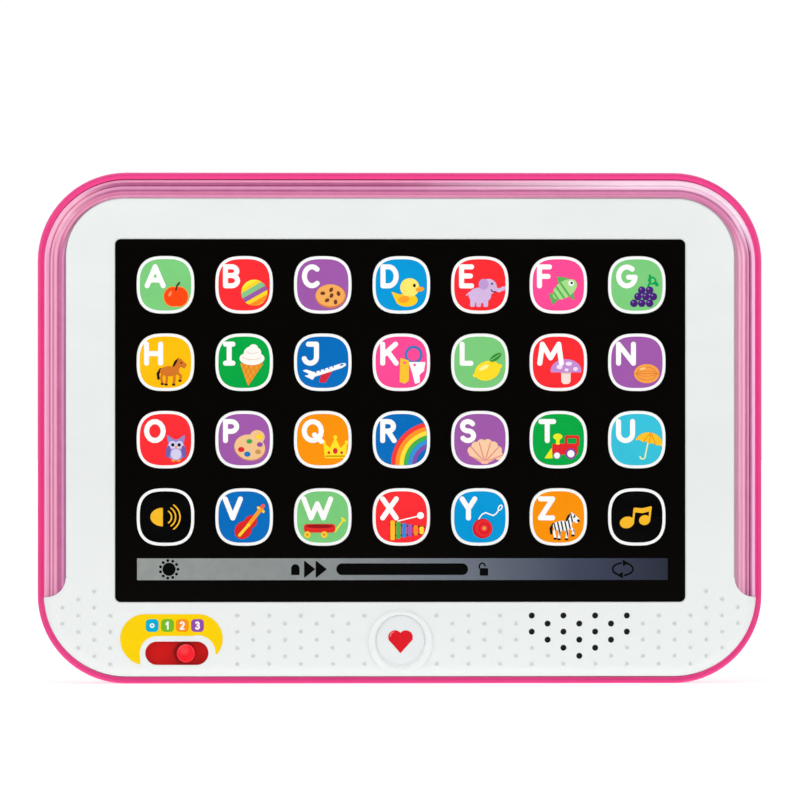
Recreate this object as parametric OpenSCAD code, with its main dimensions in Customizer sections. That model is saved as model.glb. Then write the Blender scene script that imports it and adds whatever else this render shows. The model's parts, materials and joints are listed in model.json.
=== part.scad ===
// Alphabet toy tablet for small children: a shallow moulded case with 28 push keys behind a
// black panel, a round home button, a four-position stage slider, a speaker and three AAA cells.
// Each sub-part is drawn lying flat (x across, y up the tablet, z from the back to the face),
// and stand() then sets it upright: face towards -Y, top edge towards +Z, origin at the middle
// of the lower edge.

/* [Case] */
// Width of the case
case_w = 250.4; // [248:0.2:252]
// Height of the case
case_h = 176.6; // [175:0.1:178]
// Radius of the four outer corners
corner_r = 30.7; // [30:0.1:31]
// Width of the rear housing's rounded rim, seen from the front
rim_w = 2.2; // [2:0.1:2.4]
// Level of the rim above the flat back
rim_z = 16.5; // [16:0.1:17]
// Level of the white face above the flat back
face_z = 23.5; // [23.4:0.1:24]
// Wall thickness of the front housing
skin_t = 2; // [1.8:0.1:2]
// Floor thickness of the rear housing
floor_t = 2.2; // [2:0.1:2.2]
// Radius of the bulging sides of the rear housing
side_r = 24; // [22:1:26]

/* [White face] */
// Distance from the case edge to the white face at the sides
face_inset = 10; // [9.8:0.1:10.2]
// Level of the upper edge of the white face, from the case centre
face_top = 79.1; // [78.9:0.1:79.3]
// Radius of the upper corners of the white face
face_r = 20; // [19:0.5:21]
// Level where the pink trim band ends and the white reaches the rim
band_end = -58.3; // [-58.6:0.1:-58]
// Width of the screen opening
screen_w = 196.6; // [196:0.1:197]
// Height of the screen opening
screen_h = 125.1; // [125:0.1:125.4]
// Depth of the screen panel below the white face
screen_inset = 0.4; // [0.3:0.1:0.5]

/* [Keys] */
// Width of one key
key_w = 19.7; // [19.6:0.1:20.2]
// Roundness exponent of the key outline: 2 is a circle, higher is squarer
key_power = 2.75; // [2.4:0.05:3.2]
// Distance between key columns
key_pitch_x = 27.07; // [27:0.01:27.2]
// Distance between key rows
key_pitch_y = 26.65; // [26.5:0.05:26.8]
// Level of the top row of keys, from the case centre
key_top_row = 49.3; // [49:0.1:49.5]
// Height of the keys above the screen panel
key_proud = 0.5; // [0.4:0.1:0.7]
// Travel of one key
key_travel = 0.8; // [0.6:0.1:0.8]
// Gap around a key in its opening
key_gap = 0.2; // [0.15:0.05:0.25]

/* [Lower controls] */
// Radius of the home button
home_r = 8.5; // [8.3:0.1:8.6]
// Radius of the raised ring around the home button
home_ring_r = 11.1; // [10.8:0.1:11.3]
// Travel of the home button
home_travel = 1.5; // [1:0.1:1.5]
// Diameter of the slider knob
knob_d = 6.4; // [6:0.1:6.6]
// Distance between the slider's four stops
slider_pitch = 5.1; // [5:0.05:5.15]
// Diameter of one speaker hole
hole_d = 2.1; // [1.8:0.1:2.2]
// Distance between bump columns
bump_pitch = 5.47; // [5.44:0.01:5.48]
// Distance between bump rows
bump_row = 2.78; // [2.76:0.01:2.8]
// Height of one bump
bump_h = 0.5; // [0.3:0.05:0.6]

/* [Battery bay] */
// Diameter of one AAA cell
cell_d = 10.5; // [10.3:0.1:10.5]
// Length of one AAA cell
cell_l = 44.5; // [44:0.1:44.5]
// Distance between the cells
cell_pitch = 11.1; // [11:0.1:11.1]

/* [Hidden] */
$fn = 72;
eps = 0.01;
LETTERS = "abcdefghijklmnopqrstuvwxyz";
KEY_NAMES = [for (i = [0:27]) i < 21 ? str("key_", LETTERS[i])
                            : i == 21 ? "key_sound"
                            : i == 27 ? "key_music" : str("key_", LETTERS[i - 1])];

// Colours
MAGENTA = [0.90, 0.27, 0.57];
BAND_PINK = [0.92, 0.58, 0.74];
WHITE = [0.93, 0.94, 0.94];
BLACK = [0.05, 0.05, 0.05];
YELLOW = [1, 0.83, 0];
RED = [0.85, 0.12, 0.12];
PASTEL = [0.49, 0.81, 0.50];
BOARD_GREEN = [0.08, 0.36, 0.22];
STEEL = [0.72, 0.73, 0.75];
COPPER = [0.80, 0.52, 0.28];
KEY_RED = [1, 0.18, 0.20];
PURPLE = [0.64, 0.36, 0.67];
SKY = [0, 0.60, 0.85];
PINK = [1, 0.29, 0.59];
AMBER = [1, 0.76, 0];
GREEN = [0, 0.66, 0.27];
BLUE = [0, 0.43, 0.75];
ORANGE = [1, 0.59, 0];
CYAN = [0.22, 0.77, 0.87];
KEY_COLOURS = [PASTEL, KEY_RED, PURPLE, SKY, KEY_RED, PINK, PASTEL,
               AMBER, GREEN, BLUE, PINK, PASTEL, KEY_RED, PURPLE,
               KEY_RED, PURPLE, ORANGE, BLUE, PURPLE, GREEN, CYAN,
               BLACK, BLUE, PASTEL, KEY_RED, SKY, ORANGE, BLACK];

// Levels above the back, from the face down
skin_z = face_z - skin_t;
screen_top = face_z - screen_inset;
key_z = screen_top + key_proud;
key_flange_top = skin_z - 0.05;
key_flange_t = 0.8;
dome_z = key_flange_top - key_flange_t - key_travel - 0.05;
board_z = skin_z - 3.5;
board_t = 1.6;
mat_t = 1;
led_drop = 8.2;
flange_z = rim_z - 4.3;
flange_t = 2;
band_z = flange_z + flange_t;
ledge_t = 1.5;
ledge_w = 2.5;

// How much further the rear housing's rim stands out at the top and the bottom than at the sides
rim_extra = 0.3;

// Case outline: the centre of a corner, and the white face's corner centre
cx = case_w / 2 - corner_r;
cy = case_h / 2 - corner_r - rim_extra;
fx = case_w / 2 - face_inset;
gap = 0.1;
// Radius of the quarter round at each lower end of the trim band
foot_r = 6.8;

// Screen opening centre, and the key columns' centre
screen_c = [0, 2.55];
key_cx = 0.3;
screen_corner = 2;

// Lower controls
home_c = [0, -72.9];
home_ring_drop = 0.7;
slot_c = [-77, -77.55];
slot_w = 21.6;
slot_h = 7.9;
knob_x = slot_c.x + 3.1;
slider_plate_w = 37.4;
slider_plate_h = 8.6;
speaker_c = [61.7, -71.5];
speaker_r = 11.5;

// Screws
post_at = [for (x = [-1, 1], y = [68, -5, -66]) [x * 106.5, y]];
boss_at = [for (x = [-1, 1], y = [52, 2, -48]) [x * 100, y]];
speaker_boss_at = [for (x = [-1, 1]) [speaker_c.x + x * 12.3, -79]];
boss_z = board_z + 0.4;

// Battery bay
bay_half = 26.5;
bay_y = 5.7;
cell_z = 7.75;
cell_shift = 2.2;
bay_lo = -11;
bay_hi = 23;
hook_room = 4.6;
bay_wall = 1.6;
bay_top = 13.2;
door_gap = 0.3;
door_t = 2;
door_screw_y = -16;
total_t = face_z + 1.5;

// Places a flat-drawn sub-part upright in the tablet's own frame
module stand() {
    translate([0, total_t / 2, case_h / 2]) rotate([90, 0, 0]) children();
}

function arc(c, r, a0, a1, n = 8) =
    [for (i = [0:n]) let (a = a0 + (a1 - a0) * i / n) [c[0] + r * cos(a), c[1] + r * sin(a)]];

// The points of a list between its first and its last
function between(p) = [for (i = [1:len(p) - 2]) p[i]];

// Points of a rounded-square key outline, at equal angles
function key_outline(r) =
    [for (i = [0:47]) let (a = i * 7.5, c = cos(a), s = sin(a),
        k = pow(pow(abs(c), key_power) + pow(abs(s), key_power), -1 / key_power)) r * k * [c, s]];

function key_at(i) =
    [key_cx + (i % 7 - 3) * key_pitch_x, key_top_row - floor(i / 7) * key_pitch_y];

module rounded(w, h, r) {
    square([w - 2 * r, h], center = true);
    square([w, h - 2 * r], center = true);
    for (x = [-1, 1], y = [-1, 1]) translate([x * (w / 2 - r), y * (h / 2 - r)]) circle(r);
}

module stadium(w, h) {
    square([w - h, h], center = true);
    for (x = [-1, 1]) translate([x * (w - h) / 2, 0]) circle(d = h);
}

module slab(z0, z1) translate([0, 0, z0]) linear_extrude(z1 - z0) children();
module disc(r, z0, z1) translate([0, 0, z0]) cylinder(r = r, h = z1 - z0);
module block(lo, hi) translate(lo) cube(hi - lo);

// Turns an edge section a quarter round a corner, and runs it straight along a side.
// The section's x is the distance outwards from the corner centre.
module corner_at(p, a)
    translate([p.x, p.y, 0]) rotate([0, 0, a]) rotate_extrude(angle = 90) children();
module run_from(p, a, length)
    translate([p.x, p.y, 0]) rotate([0, 0, a]) rotate([90, 0, 0]) linear_extrude(length) children();

// A whole rim, round a rectangle with half-sizes hx and hy between its corner centres
module rim(hx, hy) {
    corner_at([hx, hy], 0) children();
    corner_at([-hx, hy], 90) children();
    corner_at([-hx, -hy], 180) children();
    corner_at([hx, -hy], 270) children();
    run_from([hx, hy], 0, 2 * hy) children();
    run_from([-hx, hy], 90, 2 * hx) children();
    run_from([-hx, -hy], 180, 2 * hy) children();
    run_from([hx, -hy], 270, 2 * hx) children();
}

// Steel screw with its head's seat at z: a plain shank stands for the thread
module screw(head_r, head_h, shank_r, length, z) {
    difference() {
        disc(head_r, z - head_h, z);
        for (a = [0, 90]) rotate(a) block([-head_r * 0.6, -0.35, z - head_h - 1],
                                          [head_r * 0.6, 0.35, z - head_h * 0.45]);
    }
    disc(shank_r, z - eps, z + length);
}

// A round wire through a list of points
module wire(points, r) {
    for (i = [0:len(points) - 2]) {
        d = points[i + 1] - points[i];
        translate(points[i]) rotate([0, acos(d.z / norm(d)), atan2(d.y, d.x)])
            cylinder(r = r, h = norm(d));
        if (i > 0) translate(points[i]) sphere(r);
    }
}

// ---- Case ----

module rear_housing() color(MAGENTA) stand() {
    difference() {
        union() {
            rim(cx, cy + rim_extra) rear_section();
            block([-cx, -cy - rim_extra, 0], [cx, cy + rim_extra, floor_t]);
            for (p = post_at) translate(p) disc(4, 0, flange_z);
            battery_bay();
            for (x = [-88, -65.5]) translate([x, slot_c.y]) disc(2.5, 0, board_z - 2);
            for (x = [-1, 1], y = [-36, 50]) block([x * 62 - 26, y - 0.7, 0], [x * 62 + 26, y + 0.7, 6]);
        }
        for (p = post_at) translate(p) {
            disc(3.1, -1, 6);
            disc(1.65, -1, flange_z + 1);
        }
        bay_openings();
    }
}

// Outer section of the rear housing. The side is one wide arc, widest at the lip, that turns
// into the flat back over a tighter one. Inside, a ledge carries the front housing's flange.
module rear_section() {
    lip_r = rim_w / 2;
    lip_z = rim_z - lip_r;
    turn = 28;
    back_r = (lip_z - side_r * sin(turn)) / (1 - sin(turn));
    back_x = corner_r - side_r + (side_r - back_r) * cos(turn);
    wall_x = corner_r - rim_w;
    ledge_x = wall_x - 2;
    inner_r = 7;
    polygon(concat(
        [[0, 0]], arc([back_x, back_r], back_r, -90, -turn),
        between(arc([corner_r - side_r, lip_z], side_r, -turn, 0)),
        arc([corner_r - lip_r, lip_z], lip_r, 0, 180),
        [[wall_x, flange_z], [ledge_x, flange_z], [ledge_x, flange_z - 1], [wall_x, flange_z - 3]],
        arc([wall_x - inner_r, floor_t + inner_r], inner_r, 0, -90), [[0, floor_t]]));
}

// Walls, roof and door seat of the battery bay
module battery_bay() {
    out = bay_half + bay_wall;
    block([-out, bay_lo - bay_wall, 0], [out, bay_hi + hook_room + bay_wall, bay_top + 1.5]);
    block([-10, door_screw_y - 6, 0], [10, bay_lo, 4.4]);
    translate([0, door_screw_y]) disc(4, 0, 9);
}

module bay_openings() {
    difference() {
        union() {
            block([-bay_half, bay_lo, floor_t], [bay_half, bay_hi + hook_room, bay_top]);
            block([-bay_half, bay_lo, -1], [bay_half, bay_hi, floor_t + eps]);
        }
        for (x = [-1, 1], y = [bay_lo + 1, bay_hi - 5])
            translate([x * (bay_half - 0.5), y + 2]) block([-0.7, -2, door_t + 0.1], [0.7, 2, 4]);
    }
    block([-7 - door_gap, door_screw_y - 4.6, -1], [7 + door_gap, bay_lo + eps, door_t + 0.2]);
    translate([0, door_screw_y]) disc(1.95, 0, 7.5);
    translate([bay_half - 1, bay_y - cell_pitch, 8.2]) rotate([0, 90, 0]) cylinder(r = 0.85, h = 4);
    translate([-bay_half - 3, bay_y + cell_pitch, 8.2]) rotate([0, 90, 0]) cylinder(r = 0.85, h = 4);
}

// Outer section of the lower white zone: a wall, a rounded edge and the face, or a solid edge
module lower_edge(solid = false) {
    x = corner_r - rim_w - gap;
    edge_r = 4;
    wall_t = 2.2;
    inside = solid ? [[0, flange_z]] : [[x - wall_t, flange_z], [x - wall_t, skin_z], [0, skin_z]];
    polygon(concat([[0, face_z]], arc([x - edge_r, face_z - edge_r], edge_r, 90, 0),
        [[x, flange_z]], inside));
}

// Outer section of the upper white zone, with a small edge radius
module upper_edge() {
    inner = face_r - skin_t;
    polygon(concat([[0, face_z]], arc([face_r - 1, face_z - 1], 1, 90, 0, 5),
        [[face_r, flange_z], [inner, flange_z], [inner, skin_z], [0, skin_z]]));
}

// The corner that the white fills under each end of the trim band
module band_foot(r, side) {
    scale([side, 1]) polygon(concat([[fx - 1, band_end - 1], [fx - 1, band_end + r]],
        arc([fx + r, band_end + r], r, 180, 270, 6), [[fx + r, band_end - 1]]));
}

// The upper white outline, used for the face and for the hole through the trim band
module upper_outline(grow) {
    half = fx + grow;
    top = face_top + grow;
    difference() {
        translate([0, top - 100]) rounded(2 * half, 200, face_r + grow);
        translate([-150, band_end - 200]) square([300, 200]);
    }
}

module front_shell() {
    hx = fx - face_r;
    hy = face_top - face_r;
    corner_at([hx, hy], 0) upper_edge();
    corner_at([-hx, hy], 90) upper_edge();
    run_from([-hx, hy], 90, 2 * hx) upper_edge();
    run_from([hx, hy], 0, hy - band_end) upper_edge();
    run_from([-hx, band_end], 180, hy - band_end) upper_edge();
    block([-hx, band_end, skin_z], [hx, hy, face_z]);
    difference() {
        union() {
            corner_at([-cx, -cy], 180) lower_edge();
            corner_at([cx, -cy], 270) lower_edge();
            run_from([cx, -cy], 270, 2 * cx) lower_edge();
        }
        block([-150, band_end, -1], [150, 0, 50]);
    }
    flange_outer = corner_r - rim_w - gap;
    slab(flange_z, band_z) difference() {
        rounded(2 * (cx + flange_outer), 2 * (cy + flange_outer), flange_outer);
        rounded(2 * (cx + flange_outer - 3.3), 2 * (cy + flange_outer - 3.3), flange_outer - 3.3);
    }
    slab(flange_z, band_z) difference() {
        rounded(2 * (cx + flange_outer - 1), 2 * (cy + flange_outer - 1), flange_outer - 1);
        upper_outline(-skin_t);
        translate([-150, -150]) square([300, 150 + band_end - skin_t]);
        translate([-fx + skin_t, band_end - 10]) square([2 * (fx - skin_t), 20]);
    }
    intersection() {
        union() {
            corner_at([-cx, -cy], 180) lower_edge(solid = true);
            corner_at([cx, -cy], 270) lower_edge(solid = true);
        }
        union() for (x = [-1, 1])
            translate([x * (fx + 4), 0]) block([-6, band_end - skin_t, 0], [6, band_end, face_z + 1]);
    }
    intersection() {
        union() {
            run_from([cx, band_end + foot_r], 0, foot_r + 1) lower_edge(solid = true);
            run_from([-cx, band_end - 1], 180, foot_r + 1) lower_edge(solid = true);
        }
        for (side = [-1, 1]) slab(band_z - eps, face_z) band_foot(foot_r, side);
    }
}

module front_housing() color(WHITE) stand() {
    difference() {
        union() {
            front_shell();
            for (p = post_at) translate(p) disc(3.5, flange_z, skin_z + eps);
            for (p = boss_at) translate(p) disc(2.5, board_z, skin_z + eps);
            for (p = speaker_boss_at) translate(p) disc(2.5, boss_z, skin_z + eps);
            translate(home_c - [0, home_ring_drop]) rotate_extrude() home_ring_section();
            translate(screen_c) slab(skin_z - ledge_t, skin_z + eps)
                rounded(screen_w + 3, screen_h + 3, screen_corner + 1.5);
            bumps();
        }
        translate(screen_c) {
            slab(skin_z, face_z + 2) rounded(screen_w, screen_h, screen_corner);
            slab(0, face_z) rounded(screen_w - 2 * ledge_w, screen_h - 2 * ledge_w, screen_corner);
            rim(screen_w / 2 - screen_corner, screen_h / 2 - screen_corner) screen_chamfer();
        }
        for (p = post_at) translate(p) disc(1.5, flange_z - 1, flange_z + 6.5);
        for (p = boss_at) translate(p) disc(1.15, board_z - 1, board_z + 2.9);
        for (p = speaker_boss_at) translate(p) disc(1.15, boss_z - 1, boss_z + 2.6);
        translate(home_c) disc(home_r + gap, 0, face_z + 3);
        translate(slot_c) slab(skin_z - 1, face_z + 1) stadium(slot_w + 0.2, slot_h + 0.2);
        speaker_holes();
    }
}

module screen_chamfer() {
    polygon([[screen_corner - 0.1, face_z - 0.5], [screen_corner + 0.5, face_z + 0.1],
             [screen_corner - 0.1, face_z + 0.1]]);
}

// Raised ring round the home button, with a rounded top
module home_ring_section() {
    w = home_ring_r - home_r;
    polygon(concat([[home_r, skin_z]], [[home_ring_r, skin_z]],
        arc([home_r + w / 2, face_z - 0.1], w / 2, 0, 180, 10)));
}

// A staggered grid: column k from the centre line, rows counted down from the top row
bump_top = -64.65;
bump_from = 12.45;
function grid_at(k, row, side = 1) = [side * (bump_from + k * bump_pitch), bump_top - row * bump_row];
// Rows are every second grid line, on even lines for even columns and on odd lines for odd ones
function in_speaker(k, row) =
    k % 2 == 0 ? (row < 3 && k >= 6 && k <= 12) || (row == 4 && k > 6 && k < 12 && k % 2 == 0)
               : (row < 4 && k >= 7 && k <= 11) || (row == 5 && k == 9);
function bump_rows(k) =
    k == 0 ? [0, 6] : k < 17 ? [for (r = [k % 2 : 2 : 6]) r]
    : k == 17 ? [-3, -1, 1, 3, 5] : k == 18 ? [-2, 0, 2, 4] : [-1, 1];
function over_slider(k, side) = side < 0 && k > 8 && k < 16;

module bumps() {
    dome_r = (1 + bump_h * bump_h) / (2 * bump_h);
    for (side = [-1, 1], k = [0:19], row = bump_rows(k))
        if (!over_slider(k, side) && !(side > 0 && in_speaker(k, row)))
            translate([grid_at(k, row, side).x, grid_at(k, row, side).y, face_z - 0.4])
                intersection() {
                    translate([0, 0, 0.4 + bump_h - dome_r]) sphere(dome_r);
                    cylinder(r = 1.1, h = 2);
                }
}

module speaker_holes() {
    for (k = [6:12], row = [0:5])
        if (row % 2 == k % 2 && in_speaker(k, row))
            translate(grid_at(k, row)) disc(hole_d / 2, skin_z - 1, face_z + 2);
}

// Section of the translucent band: an outer roll, a step, a shallow valley and an inner bead.
// x is the distance in from the band's outer edge, and is turned to face outwards.
module band_section() {
    x0 = corner_r - rim_w - gap;
    top = face_z - 1.4;
    profile = concat(
        [[0, band_z]], arc([1.9, band_z + 2.6], 1.9, 180, 90, 6), [[2.1, band_z + 4.2], [2.3, band_z + 4.9]],
        [[3.1, band_z + 5.4], [4.5, top - 1.7], [5.2, top - 1.9], [5.9, top - 1.2]],
        arc([6.7, top - 0.9], 0.9, 165, 60, 4), [[9, top - 0.6]],
        [[9, band_z], [8.6, band_z], [8.6, band_z + 3.4], [2, band_z + 2.6], [2, band_z]]);
    polygon([for (p = profile) [x0 - p.x, p.y]]);
}

module trim_band() color(BAND_PINK) stand() {
    difference() {
        union() {
            corner_at([cx, cy], 0) band_section();
            corner_at([-cx, cy], 90) band_section();
            run_from([-cx, cy], 90, 2 * cx) band_section();
            run_from([cx, cy], 0, cy - band_end - gap) band_section();
            run_from([-cx, band_end + gap], 180, cy - band_end - gap) band_section();
        }
        slab(0, face_z + 1) upper_outline(gap);
        for (side = [-1, 1]) slab(0, face_z + 1) band_foot(foot_r + gap, side);
    }
}

// ---- Screen and keys ----

module screen_panel() color(BLACK) stand() {
    translate([0, 0, skin_z]) linear_extrude(screen_top - skin_z) difference() {
        translate(screen_c) rounded(screen_w - 2 * gap, screen_h - 2 * gap, screen_corner - gap);
        for (i = [0:27]) translate(key_at(i)) polygon(key_outline(key_w / 2 + key_gap));
    }
}

// One key: a cap in the panel's opening over a wider flange that keeps it in
module key(i) color(KEY_COLOURS[i]) stand() translate(key_at(i)) {
    slab(key_flange_top - key_flange_t, key_z) polygon(key_outline(key_w / 2));
    slab(key_flange_top - key_flange_t, key_flange_top) polygon(key_outline(key_w / 2 + 0.9));
}

module keypad_mat() color([0.82, 0.84, 0.86]) stand() {
    difference() {
        union() {
            block([-94, -44.5, board_z], [95, 61, board_z + mat_t]);
            for (i = [0:27]) translate(key_at(i)) disc(5, board_z, dome_z);
        }
        for (i = [0:27]) translate(key_at(i) - [0, led_drop])
            block([-1.9, -1.2, board_z - 1], [1.9, 1.2, board_z + mat_t + 1]);
    }
}

module backlight_leds() color([0.95, 0.9, 0.6]) stand() {
    for (i = [0:27]) translate(key_at(i) - [0, led_drop])
        block([-1.5, -0.8, board_z], [1.5, 0.8, board_z + 0.9]);
}

module main_board() color(BOARD_GREEN) stand() {
    difference() {
        union() {
            block([-102.8, -56, board_z - board_t], [102.8, 62, board_z]);
            block([-12, -82, board_z - board_t], [12, -55, board_z]);
        }
        for (p = boss_at) translate(p) disc(1.3, 0, board_z + 1);
    }
}

module controller_blob() color(BLACK) stand()
    translate([-58, 26, board_z - board_t]) rotate_extrude() polygon(concat([[0, 0], [7, 0]],
        [for (i = [1:8]) [7 * cos(i * 11.25), -2.2 * sin(i * 11.25)]]));

module capacitor() color([0.15, 0.2, 0.45]) stand()
    translate([-58, -8, board_z - board_t]) rotate_extrude() polygon(
        [[0, 0], [2.5, 0], [2.5, -1], [2.3, -1.3], [2.5, -1.6], [2.5, -6.8], [2.2, -7], [0, -7]]);

// ---- Lower controls ----

module home_button() color(WHITE) stand() translate(home_c) {
    top = face_z + 0.7;
    z0 = skin_z - 0.9;
    rotate_extrude() polygon(concat([[0, z0], [home_r + 1.1, z0], [home_r + 1.1, skin_z - 0.1],
        [home_r, skin_z - 0.1]], arc([home_r - 0.6, top - 1.1], 0.6, 0, 75, 5),
        [[home_r * 0.6, top - 0.15], [home_r * 0.3, top - 0.03], [0, top]]));
}

module home_pad() color([0.75, 0.77, 0.8]) stand() translate(home_c) {
    disc(7, board_z, board_z + 0.5);
    disc(4, board_z, skin_z - 0.9 - home_travel - 0.05);
}

// Yellow arched label over the slider, thin enough to lie on the face. It tapers to a tip on
// each side of the slot: the left one hangs lower than the right one.
module slider_decal() color(YELLOW) stand() slab(face_z, face_z + 0.12) difference() {
    y = -72.6;
    x = slot_c.x;
    polygon(concat(arc([x + 7.3, y], 8.5, 0, 90, 12), arc([x - 11, y], 8.5, 90, 180, 12),
                   arc([x - 10.4, y], 9.1, 180, 256.5, 10), arc([x + 7.8, y], 8, -41, 0, 6)));
    translate(slot_c) stadium(slot_w + 4, slot_h + 4);
    translate(slot_c + [(slot_w - slot_h) / 2 + 0.3, 0]) circle(6.2);
    translate(slot_c + [-slot_w / 2 - 1.9, -10]) square([slot_w + 3.8, 10]);
}

// Guide behind the slot: two rails and a floor, with a groove for the slider's stem
module slider_track() color(RED) stand() translate(slot_c) difference() {
    slab(skin_z - 2.6, skin_z) rounded(38, 10.6, 2);
    slab(skin_z - 1.5, face_z) square([40, slider_plate_h + 0.3], center = true);
    slab(0, face_z) stadium(3 * slider_pitch + 3.2, 3.2);
}

// Round knob on a long plate that fills the slot's opening at every stop
module stage_slider() color(RED) stand() translate([knob_x, slot_c.y]) {
    r = knob_d / 2;
    edge_r = 0.9;
    plate_top = skin_z - gap;
    rotate_extrude() polygon(concat([[0, plate_top - eps], [r, plate_top - eps]],
        arc([r - edge_r, total_t - edge_r], edge_r, 0, 90, 6), [[0, total_t]]));
    slab(skin_z - 1.35, plate_top) stadium(slider_plate_w, slider_plate_h);
    disc(1.2, skin_z - 2.9, skin_z - 1.3);
}

module slider_contact() color(COPPER) stand() translate([knob_x, slot_c.y, skin_z - 3.75])
    rotate([90, 0, 0]) linear_extrude(3, center = true) polygon(
        [[-5, 0.85], [5, 0.85], [5, 0.6], [-3.5, 0.6], [-1, 0.3], [4, 0.3], [4.4, 0], [-1.2, 0], [-5, 0.6]]);

module slider_board() color(BOARD_GREEN) stand()
    block([slot_c.x - 14.3, slot_c.y - 5, board_z - 2], [slot_c.x + 14.3, slot_c.y + 5, board_z - 0.4]);

module ribbon_cable() color([0.85, 0.85, 0.82]) stand() translate([-72, 0, 0])
    rotate([90, 0, -90]) linear_extrude(8) polygon([for (p = [
        [-75, board_z - 2], [-75.4, board_z - 2], [-75.4, board_z - 3.4], [-52.6, board_z - 3.4],
        [-52.6, board_z - 1.6], [-53, board_z - 1.6], [-53, board_z - 3], [-75, board_z - 3]]) [-p.x, p.y]]);

// ---- Speaker ----

module grille_cloth() color([0.12, 0.12, 0.13]) stand() slab(skin_z - 0.4, skin_z) {
    translate([43.4, -75.8]) square([36.8, 13.8]);
    translate([speaker_c.x - 6, -80.4]) square([12, 8]);
}

module speaker_frame() color(STEEL) stand() translate(speaker_c) rotate_extrude() polygon([
    [3.4, board_z - 2.6], [9.8, board_z - 2.6], [9.8, boss_z], [speaker_r, boss_z], [speaker_r, boss_z + 1.5],
    [9.6, boss_z + 1.5], [9.6, boss_z + 0.6], [9, boss_z], [9, board_z - 1.8], [3.4, board_z - 1.8]]);

module speaker_cone() color([0.2, 0.2, 0.22]) stand() translate(speaker_c) rotate_extrude() polygon([
    [0, board_z - 0.4], [1.6, board_z - 0.5], [3, board_z - 1.2], [3.2, board_z - 2.5], [3.3, board_z - 2.5],
    [3.3, board_z - 1.2], [8.9, boss_z + 0.6], [9.5, boss_z + 0.7], [9.5, boss_z + 1.1], [8.8, boss_z + 1.1],
    [3.1, board_z - 0.7], [1.7, board_z - 0.1], [0, board_z]]);

module speaker_magnet() color(STEEL) stand() translate(speaker_c) rotate_extrude() polygon([
    [0, board_z - 7], [6, board_z - 7], [6.5, board_z - 6.5], [6.5, board_z - 2.6], [0, board_z - 2.6]]);

module speaker_screws() color(STEEL) stand()
    for (p = speaker_boss_at) translate(p) screw(3.6, 1.3, 1.1, 2.4, boss_z);

module speaker_wires() color([0.7, 0.1, 0.1]) stand() for (side = [-1, 1]) {
    x = speaker_c.x + side * 3.8;
    y = speaker_c.y + 7.4;
    wire([[x, y, board_z - 2.6], [x, y, board_z - 4], [x, -52, board_z - 4],
          [x, -52, board_z - board_t]], 0.5);
}

// ---- Power ----

// Puts a cell, or one of its contacts, in its place: the middle one is turned end for end
module cell_place(i)
    translate([0, bay_y + (i - 1) * cell_pitch, cell_z]) rotate([0, 0, i == 1 ? 180 : 0]) children();

module batteries() color([0.2, 0.55, 0.3]) stand() for (i = [0:2]) cell_place(i)
    translate([cell_shift - cell_l / 2, 0, 0]) rotate([0, 90, 0]) {
        cylinder(d = cell_d, h = cell_l - 1);
        cylinder(d = 3.8, h = cell_l);
    }

// A coil of round wire along x, as rings of points joined by quads
module coil(r, wire_r, length, turns) {
    steps = 16;
    sides = 6;
    count = turns * steps;
    points = [for (i = [0:count], s = [0:sides - 1]) let (a = i * 360 / steps, b = s * 360 / sides)
        [wire_r + (length - 2 * wire_r) * i / count + wire_r * sin(b),
         (r + wire_r * cos(b)) * cos(a), (r + wire_r * cos(b)) * sin(a)]];
    quads = [for (i = [0:count - 1], s = [0:sides - 1]) let (n = (s + 1) % sides)
        [i * sides + s, i * sides + n, (i + 1) * sides + n, (i + 1) * sides + s]];
    ends = [[for (s = [sides - 1:-1:0]) s], [for (s = [0:sides - 1]) count * sides + s]];
    polyhedron(points, concat(quads, ends));
}

contact_t = 0.4;
module spring_contacts() color(STEEL) stand()
    for (i = [0:2]) cell_place(i) translate([-bay_half + 0.1, 0, 0]) {
        block([0, -4, -3.5], [contact_t, 4, 4.5]);
        translate([contact_t - 0.2, 0, 0])
            coil(2.6, 0.35, bay_half + cell_shift - cell_l / 2 - contact_t, 3);
    }

// Flat contacts with a dimple, and an arm that joins each pair of cells
module plate_contacts() color(STEEL) stand()
    for (i = [0:2]) cell_place(i) translate([bay_half - 0.1, 0, 0]) {
        block([-contact_t, -4, -3.5], [0, 4, 4.5]);
        translate([-contact_t + eps, 0, 0]) rotate([0, -90, 0])
            cylinder(r1 = 2.4, r2 = 1.6, h = bay_half - cell_shift - cell_l / 2 - contact_t - 0.15);
        if (i > 0) block([-contact_t, i == 1 ? 4 : 4 - cell_pitch, -1],
                         [0, i == 1 ? cell_pitch - 4 : -4, 1]);
    }

module red_wire() color([0.8, 0.1, 0.1]) stand() wire([[bay_half - 0.1, bay_y - cell_pitch, 8.2],
    [32, bay_y - cell_pitch, 8.2], [32, bay_y - cell_pitch, board_z - board_t]], 0.65);

module black_wire() color(BLACK) stand() wire([[-bay_half + 0.1, bay_y + cell_pitch, 8.2],
    [-32, bay_y + cell_pitch, 8.2], [-32, bay_y + cell_pitch, board_z - board_t]], 0.65);

// Door panel with two hooks behind the floor's edge and a screw tab at the other end
module battery_door() color(MAGENTA) stand() difference() {
    hook_y = bay_hi - door_gap;
    union() {
        block([-bay_half + door_gap, bay_lo + door_gap, 0], [bay_half - door_gap, hook_y, door_t]);
        block([-7, door_screw_y - 4.3, 0], [7, bay_lo + 1, door_t]);
        for (x = [-14, 14]) {
            block([x - 4, hook_y - 2.3, door_t - eps], [x + 4, hook_y - 0.3, door_t + 0.4]);
            block([x - 4, hook_y - 2.3, door_t + 0.3], [x + 4, hook_y + 2.2, door_t + 1.4]);
        }
    }
    translate([0, door_screw_y]) {
        disc(2.8, -1, 1.2);
        disc(1.6, -1, door_t + 1);
    }
    for (i = [0:5]) block([-9, hook_y - 8 + i * 1.1, -1], [9, hook_y - 7.5 + i * 1.1, 0.4]);
}

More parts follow.
